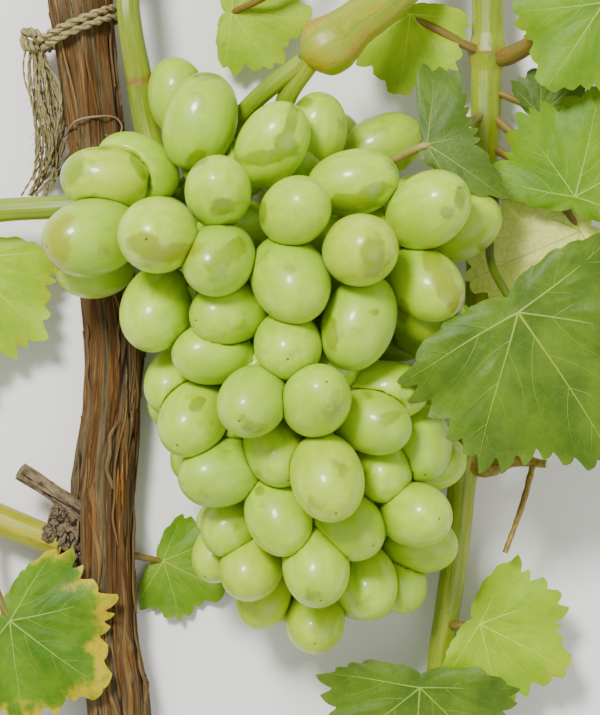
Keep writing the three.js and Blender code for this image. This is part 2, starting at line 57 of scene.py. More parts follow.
# The bunch: its berries, the levels of the hidden ones, and how the skins press on each other.
BERRY_WIDTH = 20
BERRY_LENGTH_TO_WIDTH = 1.38
PEDICEL_RADIUS = 0.9
GROUND_GAP = 1.5
TOP_RING = 66
LOWEST_RING = -78
RING_SPACING = 20
UPPER_SHARE = 0.68  # the upper berry's part of the way between two centres
BERRY_GAP = 0.05
NEIGHBOUR_REACH = 32
TOO_CLOSE = 1.06  # in radii of the upper berry
SKIN_TIGHTNESS = 70
# The limits of the hidden berries beside the trunk, the back shoot and the right shoot.
TRUNK_SIDE = -37.8
TRUNK_SLOPE = 0.36
TRUNK_REACH = -40
TRUNK_TOP = 36
BACK_SHOOT_REACH = -24
BACK_SHOOT_FOOT = 28
BACK_SHOOT_TOP = 40
RIGHT_SHOOT_REACH = 44
RIGHT_SHOOT_FOOT = 20
# Berries left of the one and above the other hang on the bunch's wing.
WING_RIGHT = -26
WING_FOOT = 12

# The wood. A bark strip's section: across, in half widths, and how far it stands in from the strip's line.
TRUNK_RADIUS = 9.6
CUT_RINGS = (0.62, 0.25)
BARK_STRIPS = 70
STRIP_SECTION = ((-1, 0.1), (0, -0.2), (1, 0.1), (1, 0.3), (0, 0.08), (-1, 0.3))
TWIG_DRYNESS = 0.8

# The leaves. A vein's section: across, in half widths, and whether it is on the crest.
VEIN_SECTION = ((-1.2, False), (-0.5, True), (0.5, True), (1.2, False))
TEETH_TO = 152  # degrees off the middle vein
STEM_SINK = 1.3

# The bunch's long section, shoulder to tip: y, middle x, half width and half depth of the berry centres.
BUNCH_SECTIONS = [
    (78, -16, 28, 14),
    (56, -10, 58, 24),
    (36, -8, 62, 28),
    (16, -2, 50, 28),
    (-5, -3, 42, 27),
    (-25, 1, 40, 25),
    (-45, 5, 36, 22),
    (-62, 6, 29, 17),
    (-79, 4, 14, 8),
]

# x, y, width, the way the free end points in plan and its lift, and the height over the bunch's smooth face.
FACE_BERRIES = [
    (-30, 70.6, 22.5, 75, 0, 0),
    (-8.4, 63.8, 20.7, 58, 20, 1),
    (4.8, 67.3, 18.6, 80, 15, -9),
    (15.9, 52.4, 20.4, 10, 8, -4),
    (-24.6, 49.6, 20.1, 90, 68, 6),
    (-1.5, 43.9, 20.4, 35, 66, 6),
    (-58.5, 53.5, 19.8, 174, 0, -2),
    (-62.4, 36.1, 23.7, 194, 35, 0),
    (-42.6, 36.8, 23.1, 215, 78, 8),
    (-24.3, 29.5, 21, 228, 62, 1),
    (-3, 23.6, 23.1, 296, 46, -2),
    (18, 32.2, 21.9, 10, 78, 6),
    (38.4, 44.2, 22.2, 34, 44, 4),
    (48.6, 38.9, 19.2, 32, 15, -10),
    (37.5, 22.1, 21, 318, 44, -3),
    (-42.9, 14.8, 22.2, 255, 44, -5),
    (-21, 13.7, 19.8, 195, 40, -8),
    (-3.6, 3.8, 20.4, 270, 72, -5),
    (17.7, 10.7, 22.2, 250, 15, -4),
    (-26.1, 1.1, 18.6, 182, 22, -8),
    (-31.8, -18.1, 21, 240, 50, -4),
    (-14.1, -13, 20.4, 236, 60, 3),
    (4.8, -13, 20.4, 62, 62, 4),
    (21.3, -19.3, 19.5, 340, 34, -4),
    (26.4, -9.8, 18, 355, 10, -9),
    (35.4, -25.3, 20.4, 280, 45, -10),
    (-23.4, -34.4, 20.7, 195, 30, -4),
    (-7.5, -27.8, 18.6, 295, 40, -9),
    (8.1, -35.9, 22.2, 284, 46, 6),
    (-6.6, -47.2, 19.8, 290, 30, -4),
    (14.1, -49.9, 20.4, 322, 45, -6),
    (34.5, -47.2, 20.1, 355, 60, 2),
    (-14.4, -62.8, 19.2, 240, 60, -4),
    (4.8, -62.5, 20.7, 278, 46, 3),
    (20.1, -67.3, 18.6, 280, 36, -6),
    (4.5, -78.8, 18.6, 270, 60, -8),
]
# The berries that look out between those of the face, in the same form.
SECOND_BERRIES = [
    (-36.6, 77.8, 18.6, 100, 10, -10),
    (-48.6, 56.9, 19.8, 150, 10, -13),
    (38.1, 13, 18.6, 345, 30, -12),
    (-61.5, 26.8, 18.6, 185, 30, -14),
    (-37.8, -6.8, 17.4, 245, 40, -12),
    (25.2, -33.1, 18, 270, 50, -10),
    (-20.4, -48.8, 18.6, 245, 40, -12),
    (35.4, -55.5, 18.6, 350, 20, -14),
    (30, -66.8, 16.8, 285, 40, -10),
    (-10.8, -71.8, 16.8, 250, 40, -10),
    (-24.2, -58.2, 16.2, 240, 40, -12),
]
# Where the bloom is rubbed off the face: x, y, half length, half width, turn, and how golden it is.
RUBBED = [
    (-68.4, 56.2, 4.6, 2.6, 55, 0.2),
    (-48.2, 57.4, 4.4, 1.3, 120, 0.1),
    (-73.2, 33.2, 8, 3.6, 80, 0.9),
    (-38.6, 31.4, 8.4, 2.3, 8, 0.7),
    (-46.6, 34.2, 4.5, 3, 0, 0.5),
    (-20.8, 31.6, 4.4, 2.6, 40, 0.1),
    (-24.6, 28.6, 3.6, 3.2, 0, 0.1),
    (-23.1, 45.2, 3.4, 2.3, 0, 0.1),
    (-20.9, 40.4, 1.8, 0.9, 20, 0.2),
    (-28, 85.4, 3.6, 2, 0, 0.1),
    (-31.3, 59.4, 3, 2, 30, 0.1),
    (-10.4, 60, 6.6, 2.1, 8, 0.1),
    (-4.2, 63.4, 3.2, 3.4, 60, 0.1),
    (-2.6, 70.4, 6, 1.5, 76, 0.2),
    (14, 46.8, 4.4, 2.2, 10, 0.2),
    (21.4, 49.2, 5.4, 2.2, 28, 0.2),
    (-11.4, 43.2, 1.4, 2.8, 0, 0.2),
    (22.2, 30.6, 3.2, 5, 10, 0.5),
    (48.2, 48.4, 1.5, 3, 0, 0.2),
    (44.2, 43.4, 1.8, 1.8, 0, 0.2),
    (39.6, 29.2, 2.6, 3.4, 0, 0.4),
    (43.2, 23.2, 3, 5, 20, 0.6),
    (46.4, 17.4, 2.2, 4.6, 10, 0.8),
    (31, 13.6, 1.5, 3, 0, 0.2),
    (9.3, 7.4, 1.6, 5, 8, 0.2),
    (1.2, 76.6, 2.2, 1.4, 0, 0.1),
    (22.4, 13.6, 1.2, 1, 0, 0.2),
    (-31, -14, 2.4, 1.4, 40, 0.2),
    (27, -18, 3, 1.4, 20, 0.3),
    (-12, -40, 1.3, 1.3, 0, 0.2),
]

# The limbs and stalks, as in the source: x, y, z and radius.
TRUNK_LINE = [
    (-53.5, -118, 10.4, TRUNK_RADIUS),
    (-54.8, -101, 10.3, TRUNK_RADIUS * 1.02),
    (-57.2, -82, 10.2, TRUNK_RADIUS * 0.95),
    (-58.5, -53, 10.4, TRUNK_RADIUS),
    (-58.5, -38, 10.6, TRUNK_RADIUS * 1.02),
    (-56.4, -15, 10.6, TRUNK_RADIUS * 0.9),
    (-56, 3, 10.8, TRUNK_RADIUS * 0.96),
    (-58, 22, 11.2, TRUNK_RADIUS * 0.92),
    (-61, 65, 12.4, TRUNK_RADIUS * 0.86),
    (-64.7, 96, 14.6, TRUNK_RADIUS * 0.94),
    (-66, 112, 15.4, TRUNK_RADIUS * 1.04),
    (-62, 132, 16, TRUNK_RADIUS * 1.1),
]
ARM_LINE = [
    (-64, 122, 16, 9),
    (-40, 132, 17, 8.4),
    (0, 137, 20, 7.8),
    (40, 135, 22, 7.2),
    (64, 131, 22, 6.8),
    (86, 128, 20, 6.4),
]
SPUR_LINE = [(-60, -50, 12, 4.5), (-69.3, -44, 14, 3.1), (-77, -38.5, 17, 2.4), (-84, -34, 19, 2.7)]
STUB_LINE = [(-71, -56, 12, 4.2), (-78, -53.5, 12, 4.6), (-92, -48, 11, 5), (-108, -42, 9, 4.8)]
FRUITING_LINE = [
    (39, 131, 23, 6.4),
    (34, 116, 34, 6.6),
    (25.8, 107, 43, 6.7),
    (16, 99.5, 50, 7),
    (10, 94.5, 52, 9),
    (5, 91.5, 52, 9.2),
    (1, 89, 51, 6.5),
]
BACK_SHOOT_LINE = [
    (-51, 131, 17, 3.9),
    (-51.5, 104, 29, 3.6),
    (-48.5, 85, 24, 4),
    (-45.3, 67.3, 22, 3.9),
    (-39, 50, 25, 4),
    (-33, 40, 26, 3.2),
]
LEFT_SHOOT_LINE = [
    (-38, 49, 25, 3.6),
    (-50, 47.5, 29, 3.4),
    (-61, 46, 30, 3.4),
    (-75, 45, 28, 3.5),
    (-91, 44, 24, 3.6),
    (-112, 40, 18, 3.4),
]
RIGHT_SHOOT_LINE = [
    (56.5, 132, 17, 4.6),
    (56.5, 107, 15, 5.1),
    (56.5, 97, 14.5, 5.3),
    (56.5, 91.5, 14.5, 6.6),
    (56, 86, 14, 5),
    (55.5, 62, 14, 4.6),
    (54.5, 40, 13.5, 4.5),
    (53.5, 10, 13, 4.4),
    (51, -18, 13, 4.5),
    (49.4, -27.5, 12.5, 6.2),
    (48.4, -38.5, 12, 4.4),
    (46.2, -62, 11, 4.2),
    (42.3, -88.6, 9, 3.9),
    (40, -112, 8, 3.7),
]
SIDE_BRANCH_LINE = [(49, -31, 13, 3.6), (56, -33.2, 16, 3), (64, -31, 20, 2.1), (74, -32, 24, 1.2)]
TENDRIL_LINE = [(70, -31.6, 22, 1.1), (67, -43, 24, 0.9), (61.5, -58.6, 25, 0.8)]
WING_SPINE = [
    (1, 89, 51, 3),
    (-8, 82, 48, 2.9),
    (-17.4, 73, 42, 2.8),
    (-28, 58, 36, 2.4),
    (-44, 45, 37, 2),
    (-56, 43, 40, 1.6),
]
MAIN_SPINE = [
    (3, 89, 51, 3.2),
    (-4, 78, 46, 3),
    (-7, 62, 36, 3),
    (-4, 40, 30, 2.8),
    (-2, 10, 29, 2.6),
    (1, -20, 27, 2.2),
    (4, -50, 22, 1.7),
    (5, -66, 20, 1.2),
]

# The knots of trunk and spur: place, size, roughness, and which of the piece's materials.
TRUNK_KNOTS = [
    ((-49.5, -99.5, 10), (9, 12, 9), 0.08, 2),
    ((-62.6, 129.5, 16), (23, 20, 22), 0.05, 0),
]
SPUR_KNOTS = [
    ((-70, -51.5, 12), (11, 18, 12), 0.13, 0),
    ((-66.5, -58, 10), (10, 11, 11), 0.13, 0),
    ((-72, -46.5, 15), (6, 6, 6), 0.16, 0),
    ((-75.5, -53, 15.5), (4.5, 6, 4.5), 0.16, 0),
]

# The twine and the tendril.
TIE_CENTRE = (-66, 98.5, 15)
TIE_TURNS = ((-1.2, 12.4), (1.3, 12.9))  # each turn's shift along the trunk and its radius
TIE_YARN = 1.25
KNOT_YARN = 1.2
TIE_TWIST = 0.8
TIE_KNOT = (-80.5, 95, 16)
TIE_TILT = 0.4  # radians
STRANDS = 28
STRAY_FIBRES = 46
OFF_AXIS = np.array([0.31, 0.17, 0.93])  # a direction that no twine or tendril runs along
TIE_HANK = [(-80, 95, 15), (-77.5, 78, 13), (-76.6, 60, 9.6), (-80, 47, 6)]
DRY_TENDRIL = [
    (-70.5, 66.5, 14),
    (-67, 71, 21.8),
    (-61, 72.3, 23),
    (-55.2, 71.8, 19.4),
    (-53.4, 69, 18.2),
    (-55, 66.4, 19.6),
    (-58.5, 66.8, 22),
]

# A leaf's edge: degrees off the middle vein, and reach as a share of that vein's length.
LEAF_EDGE = (
    (0, 1),
    (24, 0.78),
    (48, 0.85),
    (70, 0.68),
    (94, 0.7),
    (110, 0.46),
    (126, 0.27),
    (155, 0.16),
    (180, 0.1),
)
FOLDED_EDGE = (
    (-180, 0.05),
    (-75, 0.25),
    (-52, 0.65),
    (-33, 1),
    (-15, 0.72),
    (0, 0.52),
    (30, 0.5),
    (50, 0.62),
    (70, 0.84),
    (97, 0.86),
    (106, 0.3),
    (125, 0.08),
    (180, 0.05),
)
SUNLIT_EDGE = (
    (-180, 0.1),
    (-126, 0.2),
    (-94, 0.4),
    (-48, 0.6),
    (-24, 0.8),
    (0, 1),
    (24, 0.78),
    (48, 0.85),
    (70, 0.68),
    (94, 0.7),
    (126, 0.27),
    (180, 0.1),
)


@dataclass
class Leaf:
    """A blade: where it joins its stem, its turn and bends in degrees, its outline, and the stem's line."""

    name: str
    look: str
    at: tuple
    turn: float
    length: float
    petiole: list
    stem: str = "red"
    roll: float = 0
    pitch: float = 0
    cup: float = 0.05
    droop: float = 0.06
    edge: tuple = LEAF_EDGE
    veins: tuple = (0, 48, -48, 94, -94)


LEAVES = [
    Leaf("shade_leaf", "dark", (65.4, 13.5, 67), -56, 56, stem="green", roll=2, pitch=-3, droop=0.07,
         petiole=[(55.6, 57, 13.8, 1.7), (58.5, 51, 26, 1.4), (57, 36, 30, 1.4), (57.5, 28, 44, 1.3),
                  (61.5, 20, 60, 1.3), (66, 12.9, 67, 1.3)]),
    Leaf("folded_leaf", "shaded", (38.1, 63.8, 47), 0, 29, stem="tan", roll=-8, pitch=2, cup=0.04,
         edge=FOLDED_EDGE, veins=(-33, 16, 84, -62),
         petiole=[(56, 74, 14, 1.4), (47, 68, 30, 1.2), (41, 64, 43, 1.2), (37, 63.4, 47, 1.2),
                  (28, 58.9, 37, 1.2)]),
    # The pale look is painted sunlight, almost white, on a leaf that lay in full sun.
    Leaf("sunlit_leaf", "pale", (84, 38, 23.5), 205, 40, cup=0.03, droop=0, edge=SUNLIT_EDGE,
         petiole=[(55.7, 64, 13.9, 1.6), (63, 60, 19, 1.4), (76, 49, 24.5, 1.3), (84.6, 37.4, 23.5, 1.3)]),
    Leaf("behind_leaf", "shaded", (72, 73, 17), 40, 19, pitch=2, cup=0.06, droop=0.04,
         petiole=[(56, 81, 14.2, 1.5), (64, 77.5, 16, 1.2), (72.7, 73.5, 17, 1.1)]),
    Leaf("edge_leaf", "bright", (82.5, 48.2, 34), 76, 36, roll=-3, pitch=2, droop=0.04,
         petiole=[(55.8, 74, 14, 1.6), (64, 67, 20, 1.4), (74, 57, 27, 1.3), (82.3, 48.8, 34, 1.3)]),
    Leaf("top_right_leaf", "bright", (91.5, 106.6, 47), -125, 33, roll=4, pitch=-4, cup=0.06,
         petiole=[(57, 90, 14.5, 3), (62.4, 90.4, 20, 3), (76, 98, 36, 2.4), (92, 106, 47, 1.9)]),
    Leaf("top_leaf", "lime", (33, 103, 21), -98, 26.5, roll=4, droop=0.02,
         petiole=[(56.5, 92, 14.5, 1.8), (51.6, 92.9, 19, 1.5), (42, 98, 22, 1.35), (32.6, 102.6, 21, 1.3)]),
    Leaf("upper_left_leaf", "lime", (-20.4, 103.6, 13), -5, 26, roll=6,
         petiole=[(4, 132, 20, 1.5), (0, 121, 25, 1.3), (-9, 109.5, 22, 1.25), (-21, 103.2, 13, 1.2)]),
    Leaf("left_leaf", "lime", (-101, 30, 15), -92, 42, pitch=2,
         petiole=[(-96, 43, 22.5, 1.7), (-99, 37, 18, 1.4), (-101, 29.5, 15, 1.4)]),
    Leaf("lower_left_leaf", "yellowing", (-87, -79, 25), -36, 38, pitch=1, cup=0.06, droop=0.08,
         petiole=[(-93, -48, 11, 1.7), (-94, -60, 17, 1.5), (-90, -73, 24, 1.4), (-86.5, -79.5, 25, 1.4)]),
    Leaf("trunk_leaf", "bright", (-41, -61, 3.2), -26, 23, pitch=3, cup=0.06, droop=0.02,
         petiole=[(-58, -57, 9, 1.4), (-48.5, -59.6, 6, 1.2), (-40.4, -61.3, 3.2, 1.1)]),
    Leaf("bottom_leaf", "dark", (36, -99, 27), -94, 42, pitch=-6, cup=0.06, droop=0.1,
         petiole=[(40.8, -105, 8, 1.9), (37, -104, 17, 1.7), (36, -98.4, 27, 1.5)]),
    Leaf("side_leaf", "lime", (54, -80, 18), -28, 32, droop=0.04,
         petiole=[(43.8, -80, 9.6, 1.6), (48.5, -80.5, 16, 1.4), (55, -80.5, 18, 1.3)]),
]


# The studio, in metres and watts: each light's place, size and power.
LIGHTS = {"key": ((-0.4, 0.62, 1.15), 0.3, 27.0), "fill": ((0.9, -0.5, 1.1), 1.2, 6.0)}
WORLD_STRENGTH = 0.7
FLOOR_WIDTH = 6
SENSOR_WIDTH = 36  # millimetres


@dataclass
class Berry:
    """A berry's centre, width, way from stem to tip, its root on a stalk, and which stalk that is."""

    centre: np.ndarray
    width: float
    axis: np.ndarray = None
    root: np.ndarray = None
    spine: str = ""


def spot(x, y, z):
    """A place seen at x, y on the bunch's face, moved out along the line of sight to its own height."""
    spread = (EYE_HEIGHT - z) / (EYE_HEIGHT - FACE_HEIGHT)
    return np.array([x * spread, y * spread, z])


def share(draw):
    """The source's repeatable share from 0 to 1."""
    wave = math.sin(draw * 12.9898) * 43758.5453
    return wave - math.floor(wave)


def unit(v):
    return v / np.linalg.norm(v, axis=-1, keepdims=True)


def xyz(x, y, z):
    """Points from their coordinates, each of them an array or one number."""
    return np.stack(np.broadcast_arrays(x, y, z), -1)


def turns(count):
    return np.linspace(0, 2 * math.pi, count, endpoint=False)


def lengths_along(place):
    """How far along their line each of the places lies."""
    return np.concatenate([[0], np.cumsum(np.linalg.norm(np.diff(place, axis=0), axis=1))])


def noise_at(points, scale, seed=0.0):
    """Smooth noise from -1 to 1 at each point, in the points' own shape."""
    points = np.asarray(points, float)
    flat = points.reshape(-1, 3) * scale + np.array([seed * 7.3, seed * 3.1, seed * 5.7])
    return np.array([noise.noise(Vector(p)) for p in flat]).reshape(points.shape[:-1])


def smooth_line(points, at):
    """The source's centripetal curve through the points: places, the leg each is on and the way along it."""
    p = np.array(points, float)
    p = np.vstack([2 * p[0] - p[1], p, 2 * p[-1] - p[-2]])
    legs = len(points) - 1
    leg = np.minimum((at * legs).astype(int), legs - 1)
    t = (at * legs - leg)[:, None]
    a, b, c, d = (p[leg + k] for k in range(4))
    pairs = ((a, b), (b, c), (c, d))
    before, own, after = (np.linalg.norm(v - u, axis=1, keepdims=True) ** 0.5 for u, v in pairs)
    t1 = ((b - a) / before - (c - a) / (before + own) + (c - b) / own) * own
    t2 = ((c - b) / own - (d - b) / (own + after) + (d - c) / after) * own
    place = b + t1 * t + (-3 * b + 3 * c - 2 * t1 - t2) * t**2 + (2 * b - 2 * c + t1 + t2) * t**3
    return place, leg, t[:, 0]


class Shape:
    """Faces gathered for one object, with the material and the named values that go with each part of it."""

    def __init__(self):
        self.verts, self.faces, self.mats, self.values = [], [], [], {}
        self.count = 0

    def add(self, verts, faces, mat=0, **values):
        verts = np.asarray(verts, float)
        self.verts.append(verts)
        for face in faces:
            self.faces.append(np.asarray(face) + self.count)
            self.mats.append(np.full(len(face), mat))
        for name, value in values.items():
            value = np.asarray(value, float)
            shape = (len(verts), 3) if value.ndim == 2 else (len(verts),)
            self.values.setdefault(name, []).append((self.count, np.broadcast_to(value, shape)))
        self.count += len(verts)

    def build(self, name, materials, slot):
        """Makes the object from what was gathered, on the part's one body. Its slot is not used."""
        mesh = bpy.data.meshes.new(name)
        verts = (np.vstack(self.verts) + PLAN_SHIFT) * MM
        verts[:, 2] = np.maximum(verts[:, 2], LOWEST * MM)
        sizes = np.concatenate([np.full(len(f), f.shape[1]) for f in self.faces])
        corners = np.concatenate([f.ravel() for f in self.faces])
        mesh.vertices.add(len(verts))
        mesh.vertices.foreach_set("co", verts.ravel())
        mesh.loops.add(len(corners))
        mesh.loops.foreach_set("vertex_index", corners.astype(np.int32))
        mesh.polygons.add(len(sizes))
        starts = np.concatenate([[0], np.cumsum(sizes)[:-1]])
        mesh.polygons.foreach_set("loop_start", starts.astype(np.int32))
        mesh.polygons.foreach_set("material_index", np.concatenate(self.mats).astype(np.int32))
        mesh.polygons.foreach_set("use_smooth", np.ones(len(sizes), bool))
        for key, chunks in self.values.items():
            wide = chunks[0][1].ndim == 2
            data = np.zeros((len(verts), 3) if wide else len(verts))
            for start, value in chunks:
                data[start:start + len(value)] = value
            layer = mesh.attributes.new(key, "FLOAT_VECTOR" if wide else "FLOAT", "POINT")
            layer.data.foreach_set("vector" if wide else "value", data.ravel())
        mesh.update(calc_edges=True)
        mesh.validate()
        obj = bpy.data.objects.new(name, mesh)
        bpy.context.scene.collection.objects.link(obj)
        for material in materials:
            mesh.materials.append(material)
        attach(obj, "root")
        return obj


def grid_faces(rows, columns, wrap=True):
    """Quads between neighbouring rows of a grid of points, closed round each row where wrap is set."""
    span = columns if wrap else columns - 1
    r, c = np.meshgrid(np.arange(rows - 1), np.arange(span), indexing="ij")
    n = (c + 1) % columns
    corners = [r * columns + c, r * columns + n, (r + 1) * columns + n, (r + 1) * columns + c]
    return np.stack(corners, -1).reshape(-1, 4)


def fan(centre, ring, flip=False):
    """Triangles from a centre point to each step of a closed ring."""
    triangles = np.stack([np.full(len(ring), centre), ring, np.roll(ring, -1)], -1)
    return triangles[:, ::-1] if flip else triangles


def limb_frame(line, at, plan=True):
    """Places, radii and the cross directions along a limb of the source."""
    points = [spot(*p[:3]) if plan else np.array(p[:3], float) for p in line]
    place, leg, t = smooth_line(points, at)
    radii = np.array([p[3] for p in line])
    radius = radii[leg] * (1 - t) + radii[leg + 1] * t
    ahead, behind = (smooth_line(points, np.clip(at + step, 0, 1))[0] for step in (1e-3, -1e-3))
    tangent = unit(ahead - behind)
    run = points[-1] - points[0]
    up = np.array([1.0, 0, 0]) if abs(run[2]) > 0.8 * np.linalg.norm(run) else np.array([0, 0, 1.0])
    side = unit(np.cross(up, tangent))
    return place, radius, tangent, side, np.cross(side, tangent)


def smooth_relief(a, s, base, at):
    """No relief, for a limb that stays smooth."""
    return np.zeros_like(a), {}


def add_limb(shape, line, sides, steps, relief=smooth_relief, cap_mat=0, plan=True, **values):
    """A fine tube on a limb's line, with relief(angle, length along, radius, share along) and closed ends."""
    at = np.linspace(0, 1, steps)
    place, radius, _, side, lift = limb_frame(line, at, plan)
    a, s = np.meshgrid(turns(sides), lengths_along(place))
    base = np.repeat(radius[:, None], sides, 1)
    grain = xyz(base * np.cos(a), base * np.sin(a), s).reshape(-1, 3)
    bump, extra = relief(a, s, base, np.repeat(at[:, None], sides, 1))
    reach = base + bump
    out = side[:, None] * np.cos(a)[..., None] + lift[:, None] * np.sin(a)[..., None]
    verts = (place[:, None] + out * reach[..., None]).reshape(-1, 3)
    data = {"grain": grain, **{k: v.reshape(-1) for k, v in extra.items()}, **values}
    shape.add(verts, [grid_faces(steps, sides)[:, ::-1]], 0, **data)
    for start, flip in ((0, True), (sides * (steps - 1), False)):
        rim = verts[start:start + sides]
        hub = rim.mean(0)
        cap = np.vstack([rim, *(hub + (rim - hub) * ring for ring in CUT_RINGS), hub])
        rings = grid_faces(1 + len(CUT_RINGS), sides)
        last_ring = len(CUT_RINGS) * sides + np.arange(sides)
        faces = [rings if flip else rings[:, ::-1], fan(len(cap) - 1, last_ring, not flip)]
        depth = np.append(np.repeat([1.0, *CUT_RINGS], sides), 0)
        shape.add(cap, faces, cap_mat, grain=cap, ring=depth, **{k: 0.0 for k in extra}, **values)


# Materials.


class Paint:
    """A material's node tree, written as nested calls."""

    def __init__(self, name):
        self.material = bpy.data.materials.new(name)
        self.material.use_nodes = True
        self.tree = self.material.node_tree
        self.shader = self.tree.nodes["Principled BSDF"]
        self.coords = self.tree.nodes.new("ShaderNodeTexCoord").outputs["Object"]
        self.grain = self.value("grain", "Vector")

    def put(self, socket, value):
        if isinstance(value, bpy.types.NodeSocket):
            self.tree.links.new(value, socket)
        elif isinstance(value, tuple) and len(value) == 3 and socket.type == "RGBA":
            socket.default_value = (*value, 1)
        else:
            socket.default_value = value

    def value(self, name, kind="Fac"):
        node = self.tree.nodes.new("ShaderNodeAttribute")
        node.attribute_name = name
        return node.outputs[kind]

    def maths(self, operation, *values):
        node = self.tree.nodes.new("ShaderNodeMath")
        node.operation = operation
        for socket, value in zip(node.inputs, values):
            self.put(socket, value)
        return node.outputs[0]

    def stretch(self, vector, scale):
        node = self.tree.nodes.new("ShaderNodeVectorMath")
        node.operation = "MULTIPLY"
        self.put(node.inputs[0], vector)
        node.inputs[1].default_value = scale
        return node.outputs[0]

    def noise(self, scale, detail=3, rough=0.55, vector=None):
        node = self.tree.nodes.new("ShaderNodeTexNoise")
        self.put(node.inputs["Vector"], self.coords if vector is None else vector)
        node.inputs["Scale"].default_value = scale
        node.inputs["Detail"].default_value = detail
        node.inputs["Roughness"].default_value = rough
        return node.outputs[0]

    def along(self, scale, squeeze, detail=3, rough=0.55):
        """Noise in the piece's own grain, drawn out along its length."""
        return self.noise(scale, detail, rough, self.stretch(self.grain, (1, 1, squeeze)))

    def cells(self, scale, feature="F1", vector=None):
        node = self.tree.nodes.new("ShaderNodeTexVoronoi")
        node.feature = feature
        self.put(node.inputs["Vector"], self.coords if vector is None else vector)
        node.inputs["Scale"].default_value = scale
        return node.outputs["Distance"]

    def band(self, value, low, high, to=(0.0, 1.0)):
        """Runs from to[0] at low to to[1] at high, smoothly."""
        node = self.tree.nodes.new("ShaderNodeMapRange")
        node.interpolation_type = "SMOOTHSTEP"
        for socket, v in zip(node.inputs, (value, low, high, *to)):
            self.put(socket, v)
        return node.outputs[0]

    def mix(self, part, a, b, blend="MIX"):
        node = self.tree.nodes.new("ShaderNodeMix")
        node.data_type = "RGBA"
        node.blend_type = blend
        self.put(node.inputs[0], part)
        self.put(node.inputs[6], a)
        self.put(node.inputs[7], b)
        return node.outputs[2]

    def blend(self, value, a, b, low=0.3, high=0.7):
        """Runs from colour a to colour b as the value runs from low to high."""
        return self.mix(self.band(value, low, high), a, b)

    def over(self, base, color, value, low, high, most=1.0):
        """Lays a colour over the base, none of it at low and most of it at high."""
        return self.mix(self.band(value, low, high, (0.0, most)), base, color)

    def plus_noise(self, value, noise, amount):
        """The value with a ragged edge: noise round zero is added to it."""
        return self.maths("ADD", value, self.maths("MULTIPLY", self.maths("SUBTRACT", noise, 0.5), amount))

    def bump(self, height, strength, distance):
        node = self.tree.nodes.new("ShaderNodeBump")
        node.inputs["Strength"].default_value = strength
        node.inputs["Distance"].default_value = distance
        self.put(node.inputs["Height"], height)
        return node.outputs[0]

    def finish(self, color, roughness, normal, **settings):
        self.put(self.shader.inputs["Base Color"], color)
        self.put(self.shader.inputs["Roughness"], roughness)
        self.put(self.shader.inputs["Normal"], normal)
        for key, v in settings.items():
            self.put(self.shader.inputs[key.replace("_", " ")], v)
        return self.material


def rgb(r, g, b):
    """A colour as seen on a screen, turned to the linear values that shaders take."""
    return tuple(((c / 255 + 0.055) / 1.055) ** 2.4 for c in (r, g, b))


def scaled(color, factor):
    return tuple(min(1, factor * c) for c in color)


def berry_paint():
    """A ripe skin under its powdery bloom, glossier and stronger in colour where the bloom is rubbed off."""
    p = Paint("berry_skin_bloom")
    tint = p.value("tint")
    cloud = p.noise(70, 4)
    ripe = p.blend(cloud, rgb(148, 184, 0), rgb(174, 198, 4))
    wax = p.blend(p.along(0.35, 0.3), rgb(158, 195, 20), rgb(182, 211, 38))
    bloom = p.band(p.maths("ADD", cloud, p.maths("MULTIPLY", tint, 0.16)), 0.3, 0.6, (0.3, 0.95))
    skin = p.mix(bloom, ripe, wax)
    skin = p.over(skin, rgb(178, 190, 6), tint, 0.1, 1.0, 0.45)
    skin = p.over(skin, rgb(136, 180, 44), tint, -0.2, -1.0, 0.35)
    # Painted shade: the skin turns darker and greener where a berry is pressed under a neighbour, in the
    # crease where shade falls.
    skin = p.mix(p.maths("MULTIPLY", p.value("pressed"), 0.5), skin, rgb(128, 164, 8))
    rubbed = p.band(p.plus_noise(p.value("rub"), p.noise(150, 6, 0.7), 1.3), 0.18, 0.5)
    clear = p.blend(p.noise(160, 3), rgb(114, 150, 0), rgb(136, 164, 0))
    clear = p.mix(p.value("gold"), clear, rgb(150, 160, 0))
    skin = p.mix(rubbed, skin, clear)
    speck = p.maths("MULTIPLY", p.band(p.cells(520), 0.1, 0.05), p.band(p.noise(60, 2), 0.54, 0.62))
    skin = p.mix(p.maths("MULTIPLY", speck, 0.7), skin, rgb(112, 96, 24))
    skin = p.over(skin, rgb(70, 56, 20), p.value("tip"), 0.05, 0.022, 0.9)
    skin = p.over(skin, rgb(140, 156, 30), p.value("stem"), 0.5, 0.1, 0.45)
    rough = p.mix(rubbed, (0.46, 0.46, 0.46), (0.3, 0.3, 0.3))
    return p.finish(
        skin, rough, p.bump(p.noise(800, 3), 0.04, 0.0002),
        Subsurface_Weight=0.4, Subsurface_Radius=(0.9, 1.0, 0.25), Subsurface_Scale=0.002,
        Coat_Weight=0.35, Coat_Roughness=0.06,
        Sheen_Weight=0.06, Sheen_Roughness=0.35, Sheen_Tint=(0.9, 1.0, 0.5, 1),
    )


